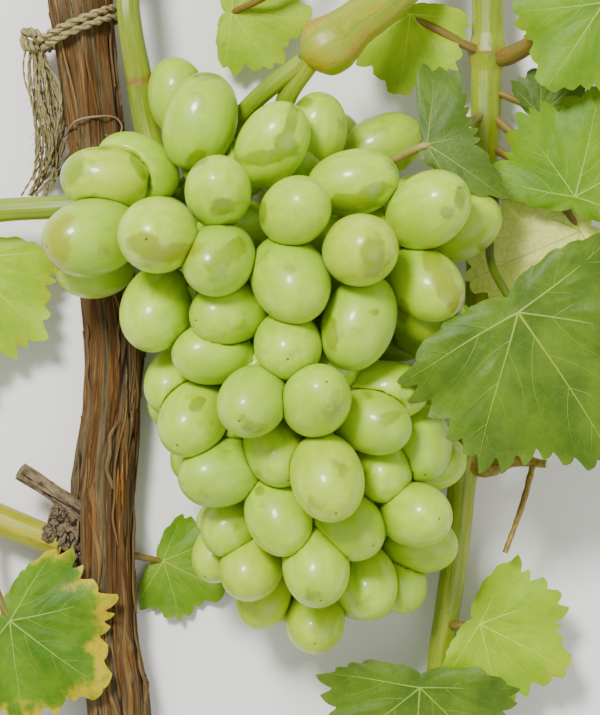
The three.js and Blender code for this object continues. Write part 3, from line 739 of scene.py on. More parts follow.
# Each cane's low and high tone, its blush, how much of that there is, and its roughness.
CANE_LOOKS = {
    "green_cane": (rgb(104, 130, 8), rgb(134, 154, 20), rgb(140, 122, 30), 0.05, 0.42),
    "fruiting_cane": (rgb(124, 142, 12), rgb(150, 158, 20), rgb(166, 118, 16), 0.11, 0.42),
    "olive_cane": (rgb(106, 126, 10), rgb(134, 148, 22), rgb(130, 104, 30), 0.04, 0.42),
    "stub_cane": (rgb(140, 140, 8), rgb(166, 162, 22), rgb(130, 96, 24), 0.06, 0.42),
    "striped_cane": (rgb(112, 134, 8), rgb(148, 162, 24), rgb(150, 122, 20), 0.06, 0.42),
    "red_petiole": (rgb(112, 96, 34), rgb(130, 112, 44), rgb(122, 62, 40), 0.12, 0.42),
    "tan_petiole": (rgb(136, 128, 62), rgb(160, 146, 80), rgb(150, 98, 66), 0.08, 0.42),
    "green_petiole": (rgb(56, 78, 4), rgb(78, 98, 12), rgb(104, 92, 30), 0.0, 0.42),
    "dry_tendril": (rgb(120, 96, 74), rgb(150, 126, 98), rgb(90, 66, 48), 0.1, 0.7),
}


def cane_paint(name):
    """Green cane: fine ridges along it, a blush in streaks, pale and dark flecks."""
    low, high, blush, blush_share, rough = CANE_LOOKS[name]
    p = Paint(name)
    ridge = p.along(1.4, 0.03, 4)
    drift = p.along(0.13, 0.35)
    fleck = p.along(1.1, 0.5)
    skin = p.blend(drift, low, high)
    skin = p.over(skin, scaled(high, 1.35), ridge, 0.42, 0.66, 0.35)
    streak = p.maths("ADD", p.maths("MULTIPLY", drift, 0.65), p.maths("MULTIPLY", ridge, 0.4))
    skin = p.over(skin, blush, streak, 0.62 - blush_share, 0.76 - blush_share, 0.8)
    skin = p.over(skin, rgb(104, 76, 34), fleck, 0.66, 0.72, 0.7)
    skin = p.mix(p.value("node"), skin, p.blend(fleck, blush, rgb(120, 76, 44), 0.4, 0.6))
    normal = p.bump(p.maths("ADD", ridge, p.maths("MULTIPLY", fleck, 0.3)), 0.3, 0.0004)
    return p.finish(
        skin, rough, normal, Subsurface_Weight=0.1, Subsurface_Radius=(0.6, 0.8, 0.2), Subsurface_Scale=0.002
    )


def bark_paint():
    """Old bark: strips in orange-brown and grey-brown, pale fibres, and dark gaps between them."""
    p = Paint("shaggy_bark")
    lane = p.along(0.34, 0.03, 2, 0.5)
    tone = p.along(0.6, 0.045, 3, 0.6)
    fibre = p.along(2.4, 0.03, 5, 0.65)
    patch = p.along(0.07, 0.4)
    base = p.blend(lane, rgb(84, 52, 12), rgb(92, 78, 52), 0.42, 0.56)
    base = p.over(base, rgb(132, 84, 18), tone, 0.52, 0.7, 0.75)
    base = p.over(base, rgb(66, 52, 28), tone, 0.5, 0.3, 0.6)
    base = p.over(base, rgb(106, 92, 62), patch, 0.5, 0.7, 0.5)
    base = p.over(base, rgb(166, 138, 82), fibre, 0.54, 0.72, 0.7)
    base = p.over(base, rgb(40, 24, 14), fibre, 0.48, 0.3, 0.8)
    base = p.over(base, rgb(36, 20, 12), p.value("crack"), 0.2, 0.8, 0.93)
    base = p.mix(p.value("fray"), base, p.blend(fibre, rgb(154, 122, 70), rgb(90, 66, 32), 0.4, 0.6))
    return p.finish(base, 0.84, p.bump(fibre, 0.7, 0.0006), Specular_IOR_Level=0.25)


def gnarl_paint():
    """The grey, cracked wood of the old spur and its knots."""
    p = Paint("weathered_knot")
    fibre = p.along(1.6, 0.2, 5, 0.65)
    patch = p.noise(0.25, 3, vector=p.grain)
    base = p.blend(patch, rgb(92, 76, 54), rgb(130, 114, 86), 0.35, 0.65)
    base = p.over(base, rgb(162, 144, 108), fibre, 0.5, 0.7, 0.7)
    base = p.over(base, rgb(42, 30, 18), fibre, 0.48, 0.3, 0.85)
    base = p.over(base, rgb(30, 20, 16), p.value("crack"), 0.1, 0.6, 0.95)
    return p.finish(base, 0.86, p.bump(fibre, 0.8, 0.0007), Specular_IOR_Level=0.25)


def cut_wood_paint():
    """A cut end: pale rings, with a dark rim and a dark pith."""
    p = Paint("cut_wood")
    ring = p.value("ring")
    wobble = p.maths("ADD", ring, p.maths("MULTIPLY", p.noise(300, 3), 0.12))
    rings = p.maths("SINE", p.maths("MULTIPLY", wobble, 46.0))
    wood = p.blend(rings, rgb(196, 168, 118), rgb(220, 198, 150), -1.0, 1.0)
    wood = p.over(wood, rgb(110, 78, 50), ring, 0.82, 0.98)
    wood = p.over(wood, rgb(140, 104, 66), ring, 0.16, 0.04)
    return p.finish(wood, 0.8, p.bump(rings, 0.3, 0.0003), Specular_IOR_Level=0.3)


# Each leaf's two tones of the upper side, its veins, its under side, and how far its edge has turned. The
# tones carry painted light: dark and shaded are painted shade for leaves that lay in shadow, bright and lime
# are their greens with painted sunlight, and pale is painted full sun, lit almost to white.
LEAF_LOOKS = {
    "dark": (rgb(66, 98, 6), rgb(94, 124, 14), rgb(142, 166, 40), rgb(112, 140, 48), 0.0),
    "shaded": (rgb(66, 94, 8), rgb(86, 114, 16), rgb(134, 156, 46), rgb(112, 134, 54), 0.0),
    "pale": (rgb(238, 248, 104), rgb(252, 254, 150), rgb(176, 186, 60), rgb(184, 198, 84), 0.0),
    "bright": (rgb(96, 142, 4), rgb(128, 168, 12), rgb(160, 184, 50), rgb(128, 160, 50), 0.12),
    "lime": (rgb(142, 186, 2), rgb(176, 208, 8), rgb(196, 212, 56), rgb(160, 190, 54), 0.25),
    "yellowing": (rgb(72, 118, 6), rgb(110, 150, 14), rgb(146, 170, 50), rgb(124, 150, 50), 1.0),
}
SHADED_LOOKS = ("dark", "shaded")


def leaf_paint(kind, under=False):
    """One side of a blade: mottled between its veins, with a faint net of veinlets and a turned edge."""
    low, high, vein, back, turned = LEAF_LOOKS[kind]
    p = Paint("leaf_" + kind + ("_under" if under else "_upper"))
    coarse, net = (p.cells(scale, "DISTANCE_TO_EDGE", p.grain) for scale in (0.28, 0.8))
    cloud, mottle, ragged, dots = (
        p.noise(scale, detail, vector=p.grain) for scale, detail in ((0.08, 4), (0.5, 3), (0.11, 4), (0.3, 4))
    )
    # low and high hold the look's painted shade for shaded leaves and its painted sunlight for sunlit ones.
    blade = p.blend(cloud, back, scaled(back, 1.2)) if under else p.blend(cloud, low, high)
    blade = p.over(blade, vein, coarse, 0.07, 0.0, 0.35 if kind == "pale" else 0.08)
    blade = p.over(blade, vein, net, 0.06, 0.0, 0.07)
    blade = p.over(blade, low, mottle, 0.5, 0.75, 0.3)
    if turned:
        edge = p.plus_noise(p.value("edge"), ragged, 1.1)
        blade = p.over(blade, rgb(204, 184, 16), edge, 0.98 - 0.16 * turned, 1.14 - 0.1 * turned, turned)
        blade = p.over(blade, rgb(160, 92, 16), edge, 1.06, 1.22, 0.85 * turned)
    blade = p.over(blade, rgb(100, 74, 20), dots, 0.7, 0.74, 0.5 * turned + 0.15)
    height = p.maths("MINIMUM", p.maths("MULTIPLY", coarse, 3.0), p.maths("ADD", net, 0.25))
    normal = p.bump(p.maths("MULTIPLY", height, -1.0 if under else 1.0), 0.22, 0.0004)
    material = p.finish(blade, 0.62 if under else 0.5, normal, Specular_IOR_Level=0.3)
    through = p.tree.nodes.new("ShaderNodeBsdfTranslucent")
    p.put(through.inputs["Color"], p.mix(0.5, blade, rgb(150, 190, 4)))
    p.put(through.inputs["Normal"], normal)
    both = p.tree.nodes.new("ShaderNodeMixShader")
    both.inputs[0].default_value = 0.1 if kind in SHADED_LOOKS else 0.3
    p.put(both.inputs[1], p.shader.outputs[0])
    p.put(both.inputs[2], through.outputs[0])
    p.put(p.tree.nodes["Material Output"].inputs["Surface"], both.outputs[0])
    return material


def vein_paint(kind):
    p = Paint("leaf_vein_" + kind)
    # The look's tones carry its painted light and shade into the veins too.
    high, tone = LEAF_LOOKS[kind][1:3]
    shade = p.blend(p.noise(0.5, 3, vector=p.grain), scaled(tone, 0.8), tone)
    shade = p.mix(p.value("edge"), shade, high)
    return p.finish(shade, 0.5, p.bump(p.noise(2, 3, vector=p.grain), 0.2, 0.0002))


def twine_paint():
    p = Paint("twine_fibre")
    fibre = p.along(2.2, 0.2, 4, 0.7)
    yarn = p.blend(fibre, rgb(94, 82, 46), rgb(188, 174, 124))
    yarn = p.over(yarn, rgb(124, 112, 72), p.noise(60, 3), 0.45, 0.7, 0.5)
    return p.finish(yarn, 0.9, p.bump(fibre, 0.7, 0.0004), Specular_IOR_Level=0.2)


def floor_paint():
    p = Paint("studio_floor")
    tone = p.blend(p.noise(6, 3), rgb(236, 234, 228), rgb(241, 239, 234))
    return p.finish(tone, 0.9, p.bump(p.noise(900, 2), 0.05, 0.0005), Specular_IOR_Level=0.2)


# The bunch.


def section_at(y):
    """The bunch's middle x, half width and half depth at a level, and the height of its core."""
    k = 0
    while k < len(BUNCH_SECTIONS) - 2 and y < BUNCH_SECTIONS[k + 1][0]:
        k += 1
    upper, lower = BUNCH_SECTIONS[k:k + 2]
    t = min(max((upper[0] - y) / (upper[0] - lower[0]), 0), 1)
    middle, width, depth = (upper[c] * (1 - t) + lower[c] * t for c in (1, 2, 3))
    return middle, width, depth, depth + BERRY_WIDTH * BERRY_LENGTH_TO_WIDTH / 2 + GROUND_GAP


def face_berry(x, y, width, turn, lift, rise):
    """The berry of a table's row, raised over the bunch's smooth face or sunk below it."""
    middle, half, depth, height = section_at(y)
    z = height + depth * math.sqrt(max(0.1, 1 - ((x - middle) / half) ** 2)) + rise
    a, b = math.radians(turn), math.radians(lift)
    axis = np.array([math.cos(a) * math.cos(b), math.sin(a) * math.cos(b), math.sin(b)])
    return Berry(spot(x, y, z), width, axis)


def meets_wood(x, y, z):
    """Whether a hidden berry would lie in the trunk, the back shoot or the right shoot."""
    in_trunk = x < TRUNK_REACH and z < TRUNK_TOP
    in_back_shoot = x < BACK_SHOOT_REACH and y > BACK_SHOOT_FOOT and z < BACK_SHOOT_TOP
    in_right_shoot = x > RIGHT_SHOOT_REACH and y > RIGHT_SHOOT_FOOT
    return in_trunk or in_back_shoot or in_right_shoot


def hidden_berries():
    """The source's arc of berries round the back of each level of the bunch, and its row inside."""
    berries = []
    draw = 1

    def put(x, y, z):
        nonlocal draw
        left_edge = TRUNK_SIDE - TRUNK_SLOPE * y if y < 0 else -FAR
        x = max(x, left_edge)
        if not meets_wood(x, y, z):
            berries.append(Berry(np.array([x, y, z]), BERRY_WIDTH * (0.94 + 0.1 * share(draw))))
        draw += 1

    pitch = BERRY_WIDTH + 1
    for level, y in enumerate(range(TOP_RING, LOWEST_RING, -RING_SPACING)):
        middle, width, depth, height = section_at(y)
        arc = 1.06 * math.pi * math.sqrt((width**2 + depth**2) / 2)
        count = max(2, math.floor(arc / pitch + 0.5))
        for k in range(count):
            turn = math.pi * (1.02 + (0.96 * (k + 0.5 + 0.3 * (level % 2))) / (count + 0.3))
            put(middle + width * math.cos(turn), y + 3 * share(draw + 0.5), height + depth * math.sin(turn))
        row = math.floor((2 * (width - 18)) / pitch)
        for k in range(row):
            put(middle + (k + 0.5 - row / 2) * pitch, y - 8, height + 5)
    return berries


def nearest_on(spine, centre):
    """The place on a stalk, past its bare first third, that lies nearest to a berry."""
    points = smooth_line([spot(*p[:3]) for p in spine], np.linspace(0, 1, 41))[0][14:]
    return points[np.argmin(np.linalg.norm(points - centre, axis=1))]


def from_ball(berry, points):
    """The points as the berry sees them when its oval is pressed back to a ball of radius 1."""
    squash = np.eye(3) - (1 - 1 / BERRY_LENGTH_TO_WIDTH) * np.outer(berry.axis, berry.axis)
    return points @ squash.T / (berry.width / 2 + BERRY_GAP)


def lower_and_dented(berry, other):
    """Whether the other berry lies higher than this one, and far enough off to dent it."""
    if other.centre[2] <= berry.centre[2]:
        return False
    return np.linalg.norm(from_ball(other, berry.centre - other.centre)) > TOO_CLOSE


def ray_start(berry, neighbours):
    """A place inside the berry with all its surface in sight, well away from the berries that dent it."""
    steps = [-1, 0, 1]
    ways = np.array([[x, y, z] for x in steps for y in steps for z in steps], float)
    ways /= np.maximum(np.linalg.norm(ways, axis=1, keepdims=True), 1)
    places = berry.centre + np.vstack([ways * 0.25, ways * 0.5]) * berry.width / 2
    clear = np.full(len(places), 1.5)
    for other in neighbours:
        if lower_and_dented(berry, other):
            clear = np.minimum(clear, np.linalg.norm(from_ball(other, places - other.centre), axis=1))
    drift = np.linalg.norm(places - berry.centre, axis=1) / berry.width
    return places[np.argmax(clear - 0.2 * drift)]


def room_beside(berry, other, start, way):
    """How far each of the unit directions runs free of a neighbour from a start inside the berry.

    The higher of two berries keeps its round side and dents the lower one. Where their centres lie too close
    for that, a flat wall parts them.
    """
    gap = other.centre - berry.centre
    apart = np.linalg.norm(gap)
    gap = gap / apart
    if lower_and_dented(berry, other):
        eye, ray = from_ball(other, start - other.centre), from_ball(other, way)
        a, b, c = (ray * ray).sum(1), ray @ eye, max(eye @ eye - 1, 0.01)
        inside = b * b - a * c
        root = np.sqrt(np.abs(inside))
        hit = np.where(inside > 0, -b - root, -b + 8 * root) / a
        return np.where(b < 0, np.maximum(hit, 0.3), FAR)
    if lower_and_dented(other, berry):
        return np.full(len(way), FAR)
    own_share = UPPER_SHARE if gap[2] <= 0 else 1 - UPPER_SHARE
    wall = own_share * apart - BERRY_GAP - (start - berry.centre) @ gap
    facing = way @ gap
    return np.where(facing > 0.05, wall / np.maximum(facing, 0.05), FAR)


def plan_rub(verts):
    """How far the face's patches rub the bloom off at each point, and how golden the skin is there."""
    spread = (EYE_HEIGHT - verts[:, 2]) / (EYE_HEIGHT - FACE_HEIGHT)
    x, y = verts[:, 0] / spread, verts[:, 1] / spread
    rub, gold = np.zeros((2, len(verts)))
    for px, py, long, short, turn, golden in RUBBED:
        a = math.radians(turn)
        u = ((x - px) * math.cos(a) + (y - py) * math.sin(a)) / long
        v = (-(x - px) * math.sin(a) + (y - py) * math.cos(a)) / short
        patch = np.exp(-0.75 * (u**2 + v**2))
        gold = np.where(patch > rub, golden, gold)
        rub = np.maximum(rub, patch)
    return rub, gold


def plump_oval(berry, index, columns, rows):
    """The berry's points with its axis upright, both tips last, and each point's angle from its stem."""
    th, ph = np.meshgrid(np.linspace(0, math.pi, rows)[1:-1], turns(columns), indexing="ij")
    half = berry.width / 2
    long = half * BERRY_LENGTH_TO_WIDTH
    uneven = 0.014 * np.sin(ph * 2 + 6 * share(index + 0.3)) * np.sin(th)
    radial = half * np.sin(th) * (1.012 + 0.016 * np.cos(2 * th + 0.5) + uneven)
    dimple = 1 - 0.07 * np.exp(-((th / 0.2) ** 2)) - 0.015 * np.exp(-(((math.pi - th) / 0.1) ** 2))
    skin = xyz(radial * np.cos(ph), radial * np.sin(ph), -long * np.cos(th) * dimple).reshape(-1, 3)
    tips = [[0, 0, -0.93 * long], [0, 0, 0.982 * long]]
    return np.vstack([skin, tips]), np.concatenate([th.ravel(), [0, math.pi]])


def pressed_points(oval, berry, everyone):
    """The oval in its place, pressed softly against its neighbours, and how much of its reach each keeps."""
    axis = berry.axis
    helper = np.array([0, 0, 1.0]) if abs(axis[2]) < 0.9 else np.array([1.0, 0, 0])
    across = unit(np.cross(helper, axis))
    pose = np.stack([across, np.cross(axis, across), axis])
    neighbours = [b for b in everyone if 0 < np.linalg.norm(b.centre - berry.centre) < NEIGHBOUR_REACH]
    start = ray_start(berry, neighbours)
    rays = oval @ pose + berry.centre - start
    length = np.linalg.norm(rays, axis=1)
    way = rays / length[:, None]
    total = length ** -SKIN_TIGHTNESS
    for near in neighbours:
        total = total + room_beside(berry, near, start, way) ** -SKIN_TIGHTNESS
    reach = total ** (-1 / SKIN_TIGHTNESS)
    return start + way * reach[:, None], reach / length


def add_berry(shape, berry, everyone, index, columns=56, rows=39, seen=True):
    """A plump oval berry with its stem dimple, its dry tip and its bloom rubbed off in patches."""
    oval, from_stem = plump_oval(berry, index, columns, rows)
    verts, kept = pressed_points(oval, berry, everyone)
    count, half = len(verts), berry.width / 2
    inner = np.arange(count - 2)
    ends = [fan(count - 2, inner[:columns], True), fan(count - 1, inner[-columns:])]
    grain = np.vstack([oval[:-2], [[0, 0, -half], [0, 0, half]]]) + np.array([37.1, 11.7, 5.3]) * index
    rub, gold = plan_rub(verts) if seen else np.zeros((2, count))
    loose = noise_at(verts, 0.09, index) * 0.9 - (0.2 if seen else 0.1)
    values = {
        "rub": np.maximum(rub, np.clip(loose, 0, 0.55)),
        "gold": gold,
        "tint": 2 * share(index + 0.7) - 1,
        "tip": math.pi - from_stem if share(index + 0.45) < 0.6 else 1.0,
        "stem": from_stem,
        # pressed is where a neighbour dents the skin, and the paint darkens it there as painted shade.
        "pressed": np.clip((0.97 - kept) * 8, 0, 1),
    }
    shape.add(verts, [grid_faces(rows - 2, columns), *ends], grain=grain, **values)


def add_pedicel(shape, berry):
    """The small green stem from the stalk to a berry, which swells under the berry."""
    start, axis = berry.root, berry.axis
    foot = berry.centre - axis * berry.width / 2 * BERRY_LENGTH_TO_WIDTH * 0.94
    long = np.linalg.norm(foot - start)
    if long < 2:
        return
    places = (start, (start + foot) / 2 - axis * 0.12 * long, foot - axis * 1.6, foot)
    line = [(*place, PEDICEL_RADIUS * swell) for place, swell in zip(places, (1, 0.85, 1.1, 2.1))]
    add_limb(shape, line, sides=8, steps=12, plan=False, node=0.15)


def stalk_relief(a, s, base, at):
    """Low ridges that wind along a stalk."""
    ridges = 0.12 * np.sin(7 * a + 0.05 * s) + 0.08 * np.sin(11 * a - 0.09 * s)
    return ridges, {"node": np.zeros_like(a)}


def make_bunch(skin, green):
    face = [face_berry(*row) for row in FACE_BERRIES]
    held = [face_berry(*row) for row in SECOND_BERRIES] + hidden_berries()
    spines = {"wing": WING_SPINE, "body": MAIN_SPINE}
    for berry in held:
        berry.spine = "wing" if berry.centre[0] < WING_RIGHT and berry.centre[1] > WING_FOOT else "body"
        berry.root = nearest_on(spines[berry.spine], berry.centre)
        if berry.axis is None:
            berry.axis = unit(berry.centre - berry.root)
    everyone = face + held
    for number, berry in enumerate(face, 1):
        shape = Shape()
        add_berry(shape, berry, everyone, number)
        name = f"berry_{number:02d}"
        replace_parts(shape.build("ripe_" + name, [skin], "berry_skin"), name)
    for kind, spine in spines.items():
        berries, stalk = Shape(), Shape()
        add_limb(stalk, spine, sides=24, steps=90, relief=stalk_relief)
        for i, berry in enumerate(held):
            if berry.spine == kind:
                seen = i < len(SECOND_BERRIES)
                grid = (48, 33) if seen else (32, 21)
                add_berry(berries, berry, everyone, 50 + i, *grid, seen)
                add_pedicel(stalk, berry)
        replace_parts(berries.build(kind + "_berries", [skin], "berry_skin"), kind + "_cluster")
        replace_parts(stalk.build(kind + "_stalk", [green], "green_cane"), kind + "_cluster")


# The wood.


def bark_relief(a, s, base, at):
    """Long strips of bark at their own heights, with cracks between them, over the source's slow swell."""

    def lanes(wide, long, seed, sway=0.0):
        around = xyz(base * np.cos(a) / wide, base * np.sin(a) / wide, s / long)
        return noise_at(around + sway, 1, seed)

    slow = base * (0.05 * np.sin(5 * a + 4 * at) + 0.03 * np.sin(9 * a - 11 * at))
    bend = 0.8 * lanes(9, 40, 1)[..., None] * np.array([1.0, 0.6, 0])
    ridge = 1 - np.abs(lanes(2.3, 75, 2, bend)) * 2.6
    plate = np.clip(0.5 + 1.6 * lanes(3.4, 95, 6, bend), 0, 1)
    fibre = lanes(0.75, 30, 3, bend)
    crack = np.clip(1 - np.abs(lanes(2.9, 85, 9, 1.2 * bend)) / 0.085, 0, 1)
    bump = slow + 0.7 * (plate - 0.5) + 0.22 * ridge + 0.3 * fibre - crack * (0.4 + 0.6 * plate) - 0.1
    return bump, {"crack": crack * (0.5 + 0.5 * plate), "fray": np.clip(fibre - 0.35, 0, 1)}


def add_bark_strip(shape, line, at0, at1, angle, width, lift_off, seed):
    """A narrow strip of old bark that has come away at one end and curls off the stem."""
    steps, corners = 22, len(STRIP_SECTION)
    place, radius, tangent, side, up = limb_frame(line, np.linspace(at0, at1, steps))
    t = np.linspace(0, 1, steps)
    wander = angle + 0.1 * np.sin(5 * t + seed) + 0.05 * np.sin(13 * t + 2 * seed)
    stand = radius + 0.1 + 0.25 * np.sin(9 * t + seed) + lift_off * t**2.4
    out = side * np.cos(wander)[:, None] + up * np.sin(wander)[:, None]
    flat = np.cross(tangent, out)
    wide = width / 2 * np.clip(np.minimum(8 * t + 0.3, 5 * (1 - t) + 0.12), 0, 1)
    middle = place + out * stand[:, None]
    rows = [middle + flat * (across * wide)[:, None] - out * drop for across, drop in STRIP_SECTION]
    verts = np.stack(rows, 1).reshape(-1, 3)
    across = np.tile([across for across, _ in STRIP_SECTION], steps) * width / 2
    grain = xyz(across + 9 * seed, 5.0 * seed, np.repeat(t * 60, corners))
    first = np.array([[0, 1, 4, 5], [1, 2, 3, 4]])
    last = first[:, ::-1] + corners * (steps - 1)
    faces = [grid_faces(steps, corners), first, last]
    shape.add(verts, faces, grain=grain, crack=0.0, fray=0.15 + 0.6 * share(seed + 3), ring=0.0)


def add_knob(shape, at, size, rough_by, mat):
    """A gnarled woody knob with folds and cracks."""
    rows, columns = 46, 70
    th, ph = np.meshgrid(np.linspace(0, math.pi, rows), turns(columns), indexing="ij")
    way = xyz(np.sin(th) * np.cos(ph), np.sin(th) * np.sin(ph), np.cos(th)).reshape(-1, 3)
    lump = noise_at(way, 1.7, at[0]) + 0.6 * noise_at(way, 4, at[1])
    fold = np.clip(1 - np.abs(noise_at(way, 2.6, at[1] + 2)) / 0.13, 0, 1)
    fine = noise_at(way, 11, at[0] + 5)
    reach = 1 + rough_by * (1.6 * lump + 0.5 * fine) - 0.13 * fold
    verts = spot(*at) + way * (np.array(size) / 2) * reach[:, None]
    grain = way * np.array(size) + np.array(at)
    shape.add(verts, [grid_faces(rows, columns)[:, ::-1]], mat, grain=grain, crack=fold, fray=0.0, ring=0.0)


def make_wood(bark, cut, gnarl):
    trunk, arm, spur = Shape(), Shape(), Shape()
    add_limb(trunk, TRUNK_LINE, sides=224, steps=320, relief=bark_relief, cap_mat=1)
    for knot in TRUNK_KNOTS:
        add_knob(trunk, *knot)
    for k in range(BARK_STRIPS):
        at = 0.02 + 0.8 * share(k + 0.23)
        long = 0.07 + 0.16 * share(k + 0.37)
        ends = (at, at + long) if share(k + 0.51) > 0.4 else (at + long, at)
        width = 0.7 + 1.5 * share(k + 0.61)
        lift_off = 0.3 + 1.1 * share(k + 0.71) ** 3
        add_bark_strip(trunk, TRUNK_LINE, *ends, 2 * math.pi * share(k + 0.11), width, lift_off, k + 1)
    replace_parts(trunk.build("trunk_bark", [bark, cut, gnarl], "bark"), "trunk")
    add_limb(arm, ARM_LINE, sides=160, steps=200, relief=bark_relief, cap_mat=1)
    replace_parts(arm.build("arm_bark", [bark, cut], "bark"), "arm")
    add_limb(spur, SPUR_LINE, sides=72, steps=90, relief=bark_relief)
    for knot in SPUR_KNOTS:
        add_knob(spur, *knot)
    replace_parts(spur.build("spur_bark", [gnarl], "bark"), "spur")


def cane_relief(nodes=(), depth=0.1, dome=0.0, dry=0.0):
    """Shallow ridges along a cane; each of its joints lies at a share of its length and has a size.

    Over its last dome millimetres the cane is rounded off, and dry is the least share of the joints' brown
    that it has.
    """

    def relief(a, s, base, at):
        bump = depth * (np.sin(9 * a + 0.04 * s) + 0.6 * np.sin(14 * a - 0.03 * s))
        grain = xyz(base * np.cos(a), base * np.sin(a), s)
        bump = bump + depth * noise_at(grain * np.array([1, 1, 0.15]), 0.8, 2)
        mark = np.full_like(a, dry)
        for where, size in nodes:
            mark = np.maximum(mark, size * np.exp(-(((at - where) / 0.016) ** 2)))
        if dome:
            closing = np.clip(1 - (s.max() - s) / dome, 0, 1)
            bump = bump + (base + bump) * (np.sqrt(1 - 0.97 * closing**2) - 1)
        return bump + 0.3 * mark * noise_at(grain, 0.5, 3), {"node": mark}

    return relief


def make_canes(paints, cut):
    def cane(name, node, line, paint, nodes, sides=44, steps=240, depth=0.1, dome=0.0, twigs=()):
        shape = Shape()
        add_limb(shape, line, sides, steps, cane_relief(nodes, depth, dome), cap_mat=1)
        for twig in twigs:
            add_limb(shape, twig, sides=16, steps=60, relief=cane_relief(dry=TWIG_DRYNESS), cap_mat=1)
        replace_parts(shape.build(name, [paints[paint], cut], "green_cane"), node)

    fine = {"sides": 72, "steps": 260, "depth": 0.05, "dome": 9.0}
    cane("fruiting_cane", "fruiting_shoot", FRUITING_LINE, "fruiting_cane", [(0.62, 0.25)], **fine)
    cane("back_cane", "back_shoot", BACK_SHOOT_LINE, "olive_cane", [(0.42, 0.8)])
    cane("left_cane", "left_shoot", LEFT_SHOOT_LINE, "green_cane", [(0.5, 0.4)])
    cane("spur_cane", "spur_shoot", STUB_LINE, "stub_cane", [(0.04, 0.9)], steps=120)
    long = {"sides": 48, "steps": 420, "twigs": [SIDE_BRANCH_LINE, TENDRIL_LINE]}
    joints = [(3 / 13, 0.5), (9 / 13, 1.0)]
    cane("right_cane", "right_shoot", RIGHT_SHOOT_LINE, "striped_cane", joints, **long)


# The leaves.


def leaf_reach(degrees, edge):
    """The edge's reach at angles off the middle vein: an edge that starts at 0 is the same on both sides."""
    degrees = np.asarray(degrees, float)
    at, reach = zip(*edge)
    return np.interp(degrees if at[0] < 0 else np.abs(degrees), at, reach)


def blade_points(leaf, x, y, height):
    """Points x along and y across a leaf's flat blade, bent and turned as the source bends it."""
    angle, r = np.arctan2(y, x), np.hypot(x, y)
    part = r / (leaf.length * leaf_reach(np.degrees(angle), leaf.edge))
    rise = r * np.minimum(part, 1) ** 2 * (leaf.cup * np.cos(6.9 * angle) - leaf.droop)
    pose = Euler([math.radians(turn) for turn in (leaf.roll, -leaf.pitch, leaf.turn)], "XYZ").to_matrix()
    return xyz(x, y, rise + height) @ np.array(pose).T + spot(*leaf.at)


def branch_vein(leaf, begin, heading, hand, degrees):
    """A side vein's path from its place on a main vein, until it nears the edge or the next main vein."""
    path = [begin]
    for _ in range(40):
        here = path[-1] + 0.025 * leaf.length * np.array([math.cos(heading), math.sin(heading)])
        heading -= hand * 0.035
        off = math.degrees(math.atan2(here[1], here[0]))
        room = min(abs(off - other) for other in leaf.veins if other != degrees)
        past = np.hypot(*here) > 0.95 * leaf.length * float(leaf_reach(off, leaf.edge))
        if past or room < 0.7 * abs(off - degrees):
            break
        path.append(here)
    return np.array(path)


def vein_lines(leaf, seed):
    """The main veins and those that branch from them: flat lines of x, y and half width, and their fade."""
    lines = []
    length = leaf.length
    size = (length / 50) ** 0.6
    t = np.linspace(0, 1, 26)
    for v, degrees in enumerate(leaf.veins):
        a = math.radians(degrees)
        full = length * float(leaf_reach(degrees, leaf.edge)) * 0.97
        sway = 0.02 * length * np.sin(3 * t + v + seed) * t
        x = full * t * math.cos(a) - sway * math.sin(a)
        y = full * t * math.sin(a) + sway * math.cos(a)
        lines.append((xyz(x, y, (0.24 if v else 0.28) * (1.12 - t) * size), 0.0))
        count = 3 if full > 0.75 * length else 2
        for k, hand in ((k, hand) for k in range(count) for hand in (-1, 1)):
            f = (k + 0.8 + 0.25 * hand * share(seed + v + k)) / (count + 0.6)
            begin = np.array([np.interp(f, t, x), np.interp(f, t, y)])
            path = branch_vein(leaf, begin, a + hand * math.radians(46 - 10 * f), hand, degrees)
            if len(path) > 4:
                half = 0.1 * np.linspace(1, 0.15, len(path)) * size
                lines.append((np.column_stack([path, half]), 0.45))
    return lines


def toothed_edge(leaf, seed):
    """Angles round the blade, with a sample at each tooth's tip and notch, and the edge's reach at each."""
    teeth = 9 + int(leaf.length / 7)
    samples = np.array([0, 0.1, 0.22, 0.34, 0.46, 0.57, 0.66, 0.72, 0.8, 0.9])
    rise = np.array([0, 0.3, 0.56, 0.74, 0.87, 0.96, 1.0, 0.74, 0.4, 0.12])
    angles, lift = {}, {}
    for hand in (1, -1):
        widths = np.array([0.55 + 0.9 * share(seed + 1.7 * k + hand) for k in range(teeth)])
        starts = np.concatenate([[0], np.cumsum(widths)]) / widths.sum() * TEETH_TO
        uneven = np.array([0.7 + 0.6 * share(seed + 3.1 * k + 2 * hand) for k in range(teeth)])
        tall = (0.35 + 0.65 * widths) * uneven * np.minimum(1, (TEETH_TO - starts[:-1]) / 30)
        angles[hand] = hand * (starts[:-1, None] + samples * np.diff(starts)[:, None]).ravel()
        lift[hand] = (tall[:, None] * rise).ravel()
    sinus = np.linspace(TEETH_TO, 360 - TEETH_TO, 13)
    all_angles = np.concatenate([angles[1], sinus, 360 + angles[-1][:0:-1]])
    all_lift = np.concatenate([lift[1], 0 * sinus, lift[-1][:0:-1]])
    off = (all_angles + 180) % 360 - 180
    before, plain, after = (leaf_reach(off + step, leaf.edge) for step in (-3, 0, 3))
    steep = np.abs(after - before) / math.radians(6) / plain
    all_lift *= np.clip((plain - 0.2) / 0.25, 0, 1) / np.sqrt(1 + steep**2)
    return np.radians(off), leaf.length * (plain * 0.945 + 0.085 * all_lift)


def nearest_vein(x, y, veins):
    """Each point's distance from the closest vein."""
    near = np.full(len(x), FAR)
    here = np.stack([x, y], -1)[:, None]
    for line, _ in veins:
        start, run = line[:-1, :2], np.diff(line[:, :2], axis=0)
        t = np.clip(((here - start) * run).sum(-1) / (run * run).sum(-1), 0, 1)
        near = np.minimum(near, np.linalg.norm(here - start - t[..., None] * run, axis=-1).min(1))
    return near


